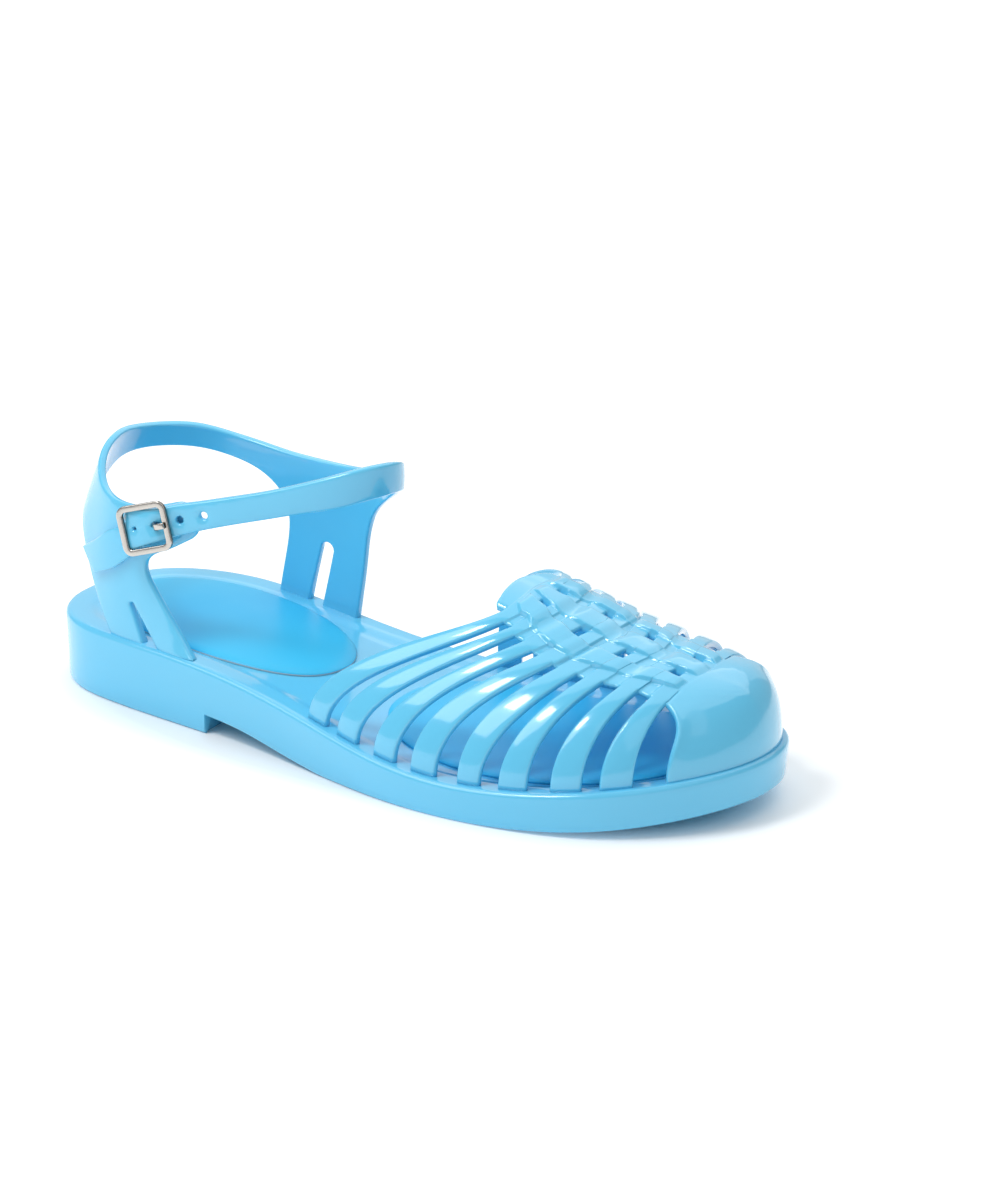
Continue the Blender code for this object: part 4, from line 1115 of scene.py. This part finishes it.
def buildProng():
    # loop round the back bar, run under the strap, up through the hole and out to the front bar
    look = buckleLook
    middle, along, up, out = buckleAxes()
    bar, hole, sides = look["length"] / 2, look["prongHole"], look["prongSides"]
    turn = np.radians(look["loopAngles"])
    loop = look["loop"] * np.stack((np.cos(turn), np.sin(turn)), -1)
    runs = ((-bar, loop), (-bar, look["prongUnder"]), (hole, look["prongRise"]), (bar, look["prongEnd"]))
    spots = np.concatenate([np.array(run) + (start, 0.0) for start, run in runs])
    fine = evenCurve(spots, look["prongSpacing"])
    tangent = unit(np.gradient(fine, axis=0))
    path = middle + fine[:, :1] * along + fine[:, 1:] * out
    upward = tangent[:, :1] * out - tangent[:, 1:] * along
    aside = np.broadcast_to(up, path.shape)
    points, faces = sweptBar(path, aside, upward, look["prong"], sides, look["prongPower"], False)
    piece = makePiece("buckleProng", points, faces, "buckle_prong")
    markSides(piece, sides)
    return piece


# Rivet
rivetLook = {
    "station": 3.6,
    "height": 47.0,
    "head": 3.2,
    "dome": 1.1,
    "domePower": 2.6,
    "domeShares": (0.03, 0.2, 0.4, 0.6, 0.78, 0.9, 0.97, 1.0),
    "brim": 0.5,  # depth of the head's widest edge inside the quarter
    "edge": ((3.2, -0.3), (3.08, -0.12)),  # radius, depth
    "shank": ((1.25, -0.1), (1.25, 3.2), (0.05, 3.3)),
    "points": 40,
}


def buildRivet():
    # a turned profile: domed head inside the quarter, rolled edge and a shank into the tab
    look = rivetLook
    length = lengthAt(look["station"])
    centre = backPoint(length, look["height"])
    axis = backNormal(length, np.array(look["height"]))
    side = unit(np.cross(axis, (0.0, 0.0, 1.0)))
    upward = np.cross(axis, side)
    share = np.array(look["domeShares"])
    depth = -look["brim"] - look["dome"] * (1 - share ** look["domePower"])
    dome = np.stack((look["head"] * share, depth), -1)
    profile = np.concatenate((dome, look["edge"], look["shank"]))
    count = look["points"]
    angle = circleAngles(count)
    ring = np.cos(angle)[:, None] * side + np.sin(angle)[:, None] * upward
    points = (centre + profile[:, :1, None] * ring[None] + profile[:, 1:, None] * axis).reshape(-1, 3)
    faces = gridFaces(len(profile), count, wrap=True).tolist()
    faces += [list(range(count)), list(range(len(points) - count, len(points)))]
    return makePiece("rivetHead", points, faces, "rivet")


# Materials
def addNode(tree, kind, values=(), **settings):
    # a shader node with its settings, then its inputs as pairs of name and value
    node = tree.nodes.new("ShaderNode" + kind)
    for name, setting in settings.items():
        setattr(node, name, setting)
    for name, value in values:
        node.inputs[name].default_value = value
    return node


def wire(tree, *joins):
    # each join: a node, its output, another node, its input
    for source, output, target, entry in joins:
        tree.links.new(source.outputs[output], target.inputs[entry])


def newMaterial(name, values):
    # a material with its shader and the values that are the same all over it
    paint = bpy.data.materials.new(name)
    paint.use_nodes = True
    shader = paint.node_tree.nodes["Principled BSDF"]
    for label, value in values:
        shader.inputs[label].default_value = value
    return paint, paint.node_tree, shader


def mouldedGroup():
    # moulded plastic: broad tone drift, roughness drift, flow waviness and a fine skin for the bump
    colour, number = "NodeSocketColor", "NodeSocketFloat"
    group = bpy.data.node_groups.new("mouldedSkin", "ShaderNodeTree")
    inputs = (
        ("Light Tone", colour, (0.2, 0.6, 0.9, 1.0)), ("Deep Tone", colour, (0.1, 0.5, 0.85, 1.0)),
        ("Low Gloss", number, 0.12), ("High Gloss", number, 0.22),
        ("Drift Scale", number, 22.0), ("Skin Scale", number, 900.0),
    )
    for label, kind, value in inputs:
        group.interface.new_socket(label, in_out="INPUT", socket_type=kind).default_value = value
    for label, kind in (("Tone", colour), ("Gloss", number), ("Relief", number)):
        group.interface.new_socket(label, in_out="OUTPUT", socket_type=kind)
    start = group.nodes.new("NodeGroupInput")
    end = group.nodes.new("NodeGroupOutput")
    place = addNode(group, "TexCoord")
    drift = addNode(group, "TexNoise", (("Detail", 3.0),))
    skin = addNode(group, "TexNoise", (("Detail", 4.0),))
    tone = addNode(group, "Mix", data_type="RGBA")
    gloss = addNode(group, "MapRange", (("From Min", 0.3), ("From Max", 0.7)))
    relief = addNode(group, "Math", ((1, 0.04),), operation="MULTIPLY_ADD")  # a little skin on the drift
    wire(group,
         (place, "Object", drift, "Vector"), (start, "Drift Scale", drift, "Scale"),
         (place, "Object", skin, "Vector"), (start, "Skin Scale", skin, "Scale"),
         (drift, "Fac", tone, "Factor"), (start, "Light Tone", tone, "A"), (start, "Deep Tone", tone, "B"),
         (drift, "Fac", gloss, "Value"), (start, "Low Gloss", gloss, "To Min"),
         (start, "High Gloss", gloss, "To Max"),
         (skin, "Fac", relief, 0), (drift, "Fac", relief, 2),
         (tone, "Result", end, "Tone"), (gloss, "Result", end, "Gloss"), (relief, "Value", end, "Relief"))
    return group


mouldedSkin = mouldedGroup()
plasticLook = {
    "solePlastic": {
        "light": (0.135, 0.59, 0.88), "deep": (0.115, 0.565, 0.865), "gloss": (0.14, 0.22), "skin": 900.0,
        "bump": 0.03, "shader": (("Coat Weight", 0.6),),
    },
    "upperPlastic": {
        "light": (0.135, 0.595, 0.88), "deep": (0.115, 0.57, 0.865), "gloss": (0.12, 0.18), "skin": 900.0,
        "bump": 0.03, "shader": (("Coat Weight", 0.9),),
    },
    "padCover": {
        "light": (0.05, 0.56, 0.89), "deep": (0.035, 0.52, 0.86), "gloss": (0.34, 0.44), "skin": 1600.0,
        "bump": 0.06, "shader": (("Coat Weight", 0.0), ("Specular IOR Level", 0.3)),
        "rawTone": (0.62, 0.66, 0.68),
    },
    "always": (("IOR", 1.5), ("Coat Roughness", 0.03)),
    "bumpDepth": 0.0006,
}


def plasticMaterial(name):
    # the moulded skin in this piece's tones; a cover has a pale raw edge where the attribute marks it
    look = plasticLook[name]
    paint, tree, shader = newMaterial(name, plasticLook["always"] + look["shader"])
    low, high = look["gloss"]
    values = (("Light Tone", (*look["light"], 1.0)), ("Deep Tone", (*look["deep"], 1.0)),
              ("Low Gloss", low), ("High Gloss", high), ("Skin Scale", look["skin"]))
    skin = addNode(tree, "Group", values, node_tree=mouldedSkin)
    relief = addNode(tree, "Bump", (("Strength", look["bump"]), ("Distance", plasticLook["bumpDepth"])))
    wire(tree,
         (skin, "Tone", shader, "Base Color"), (skin, "Gloss", shader, "Roughness"),
         (skin, "Relief", relief, "Height"), (relief, "Normal", shader, "Normal"))
    if "rawTone" in look:
        mark = addNode(tree, "Attribute", attribute_name="rawEdge")
        mix = addNode(tree, "Mix", (("B", (*look["rawTone"], 1.0)),), data_type="RGBA")
        wire(tree,
             (mark, "Fac", mix, "Factor"), (skin, "Tone", mix, "A"), (mix, "Result", shader, "Base Color"))
    return paint


steelLook = {
    "tone": (0.66, 0.63, 0.59),
    "scratched": (0.5412, 0.5166, 0.4838),
    # dark tone of the painted reflection on the bars' flanks and undersides
    "flankShade": (0.16, 0.14, 0.12),
    "gloss": (0.1, 0.24),
    "grain": (400.0, 2600.0, 2600.0),
    "grainDetail": 5.0,
    "bump": 0.08,
    "bumpDepth": 0.0001,
}


def steelMaterial(name):
    # polished steel with fine drawn scratches along the noise's stretched axis, darker on the bars' flanks
    # and undersides by a painted dark reflection
    look = steelLook
    low, high = look["gloss"]
    paint, tree, shader = newMaterial(name, (("Metallic", 1.0),))
    place = addNode(tree, "TexCoord")
    stretch = addNode(tree, "Mapping", (("Scale", look["grain"]),))
    scratch = addNode(tree, "TexNoise", (("Scale", 1.0), ("Detail", look["grainDetail"])))
    rough = addNode(tree, "MapRange", (("To Min", low), ("To Max", high)))
    tones = (("A", (*look["scratched"], 1.0)), ("B", (*look["tone"], 1.0)))
    tone = addNode(tree, "Mix", tones, data_type="RGBA")
    # mark of the painted dark reflection on the flanks and underside
    flankShade = addNode(tree, "Attribute", attribute_name="barShade")
    shade = addNode(tree, "Mix", (("B", (*look["flankShade"], 1.0)),), data_type="RGBA")
    relief = addNode(tree, "Bump", (("Strength", look["bump"]), ("Distance", look["bumpDepth"])))
    wire(tree,
         (place, "Object", stretch, "Vector"), (stretch, "Vector", scratch, "Vector"),
         (scratch, "Fac", rough, "Value"), (rough, "Result", shader, "Roughness"),
         (scratch, "Fac", tone, "Factor"), (tone, "Result", shade, "A"),
         (flankShade, "Fac", shade, "Factor"), (shade, "Result", shader, "Base Color"),
         (scratch, "Fac", relief, "Height"), (relief, "Normal", shader, "Normal"))
    return paint


solePlastic = plasticMaterial("solePlastic")
upperPlastic = plasticMaterial("upperPlastic")
padCover = plasticMaterial("padCover")
buckleSteel = steelMaterial("buckleSteel")
finishes = (
    (buildSole(), solePlastic), (buildPad("heelPad"), padCover), (buildPad("forefootPad"), padCover),
    (buildVamp(), upperPlastic), (buildBack(), upperPlastic), (buildTab(), upperPlastic),
    (buildFrame(), buckleSteel), (buildProng(), buckleSteel), (buildRivet(), buckleSteel),
)
for piece, paint in finishes:
    piece.data.materials.append(paint)
print("pieces finished")

# Stage: pale floor, soft light and the photograph's viewing angle
stageLook = {
    "azimuth": 32.783,
    "elevation": 21.165,
    "distance": 8.5743,
    "pixelsPerMetre": 3305.0,
    "look": (125.0, 0.0, 30.0),
    "lookPixel": (408.99, 647.64),
    "imageSize": (1000.0, 1200.0),
    "sensor": 36.0,
    "clipEnd": 100.0,
    "floorHalf": 6.0,
    "floorTone": 0.97,
    "floorRoughness": 0.6,
    "floorGlow": 0.15,
    "paintedShadowHalf": (0.13, 0.052),  # half sizes of the oval under the sole that doesn't glow, a painted contact shadow
    "paintedShadowEdge": 0.15,
    "sky": 0.36,
    "aim": (0.0, 0.0, 0.03),
    "boxes": {  # place, size, watts
        "keyBox": ((-0.34, -0.5, 1.22), (0.36, 0.3), 4.4),
        "topBox": ((-0.1, 0.85, 1.55), (2.6, 2.0), 15.0),
        "backBox": ((-1.1, 1.7, 0.7), (3.0, 1.2), 4.5),
        "rightBox": ((1.0, -0.6, 1.2), (1.2, 1.2), 2.0),
        "sideBox": ((-0.8, -0.9, 1.4), (1.2, 1.2), 12.0),
    },
}


def addFloor():
    # one wide flat square that glows a little, as a light table does, but not in an oval under the sole,
    # which paints a contact shadow there
    look = stageLook
    size = look["floorHalf"]
    corners = [(-size, -size, 0), (size, -size, 0), (size, size, 0), (-size, size, 0)]
    mesh = bpy.data.meshes.new("floor")
    mesh.from_pydata(corners, [], [(0, 1, 2, 3)])
    floor = bpy.data.objects.new("floor", mesh)
    putInScene(floor)
    values = (("Base Color", (*[look["floorTone"]] * 3, 1.0)), ("Roughness", look["floorRoughness"]),
              ("Emission Strength", look["floorGlow"]))
    paint, tree, shader = newMaterial("paleFloor", values)
    long, wide = look["paintedShadowHalf"]
    place = addNode(tree, "TexCoord")
    fit = addNode(tree, "Mapping", (("Scale", (1 / long, 1 / wide, 1.0)),))
    # the glow falls to nothing inside the oval under the sole: a painted contact shadow
    oval = addNode(tree, "TexGradient", gradient_type="SPHERICAL")
    glow = addNode(tree, "MapRange", (("From Max", look["paintedShadowEdge"]), ("To Min", 1.0), ("To Max", 0.0)))
    wire(tree,
         (place, "Object", fit, "Vector"), (fit, "Vector", oval, "Vector"),
         (oval, "Fac", glow, "Value"), (glow, "Result", shader, "Emission Color"))
    mesh.materials.append(paint)


def addSoftbox(name, place, size, power):
    lamp = bpy.data.lights.new(name, "AREA")
    lamp.shape = "RECTANGLE"
    lamp.size, lamp.size_y = size
    lamp.energy = power
    holder = bpy.data.objects.new(name, lamp)
    holder.location = place
    aim = Vector(stageLook["aim"]) - Vector(place)
    holder.rotation_euler = aim.to_track_quat("-Z", "Y").to_euler()
    putInScene(holder)


def addCamera():
    # the lens and its shift put the looked-at point on its pixel at the photograph's scale
    look = stageLook
    a, e = math.radians(look["azimuth"]), math.radians(look["elevation"])
    back = Vector((math.sin(a) * math.cos(e), -math.cos(a) * math.cos(e), math.sin(e)))
    right = Vector((math.cos(a), math.sin(a), 0.0))
    up = back.cross(right)
    lens = bpy.data.cameras.new("camera")
    lens.sensor_fit = "HORIZONTAL"
    lens.sensor_width = look["sensor"]
    wide, tall = look["imageSize"]
    lens.lens = look["pixelsPerMetre"] * look["distance"] * look["sensor"] / wide
    lens.shift_x = (wide / 2 - look["lookPixel"][0]) / wide
    lens.shift_y = (look["lookPixel"][1] - tall / 2) / wide
    lens.clip_end = look["clipEnd"]
    camera = bpy.data.objects.new("camera", lens)
    turn = Matrix((right, up, back)).transposed().to_4x4()
    target = Vector(toFrame(look["look"]))
    camera.matrix_world = Matrix.Translation(target + back * look["distance"]) @ turn
    putInScene(camera)
    bpy.context.scene.camera = camera


def addWorld():
    world = bpy.data.worlds.new("studio")
    world.use_nodes = True
    sky = world.node_tree.nodes["Background"]
    sky.inputs["Color"].default_value = (1.0, 1.0, 1.0, 1.0)
    sky.inputs["Strength"].default_value = stageLook["sky"]
    bpy.context.scene.world = world


addFloor()
addWorld()
for name, (place, size, power) in stageLook["boxes"].items():
    addSoftbox(name, place, size, power)
addCamera()
bpy.context.scene.view_settings.view_transform = "Standard"
print("stage set")
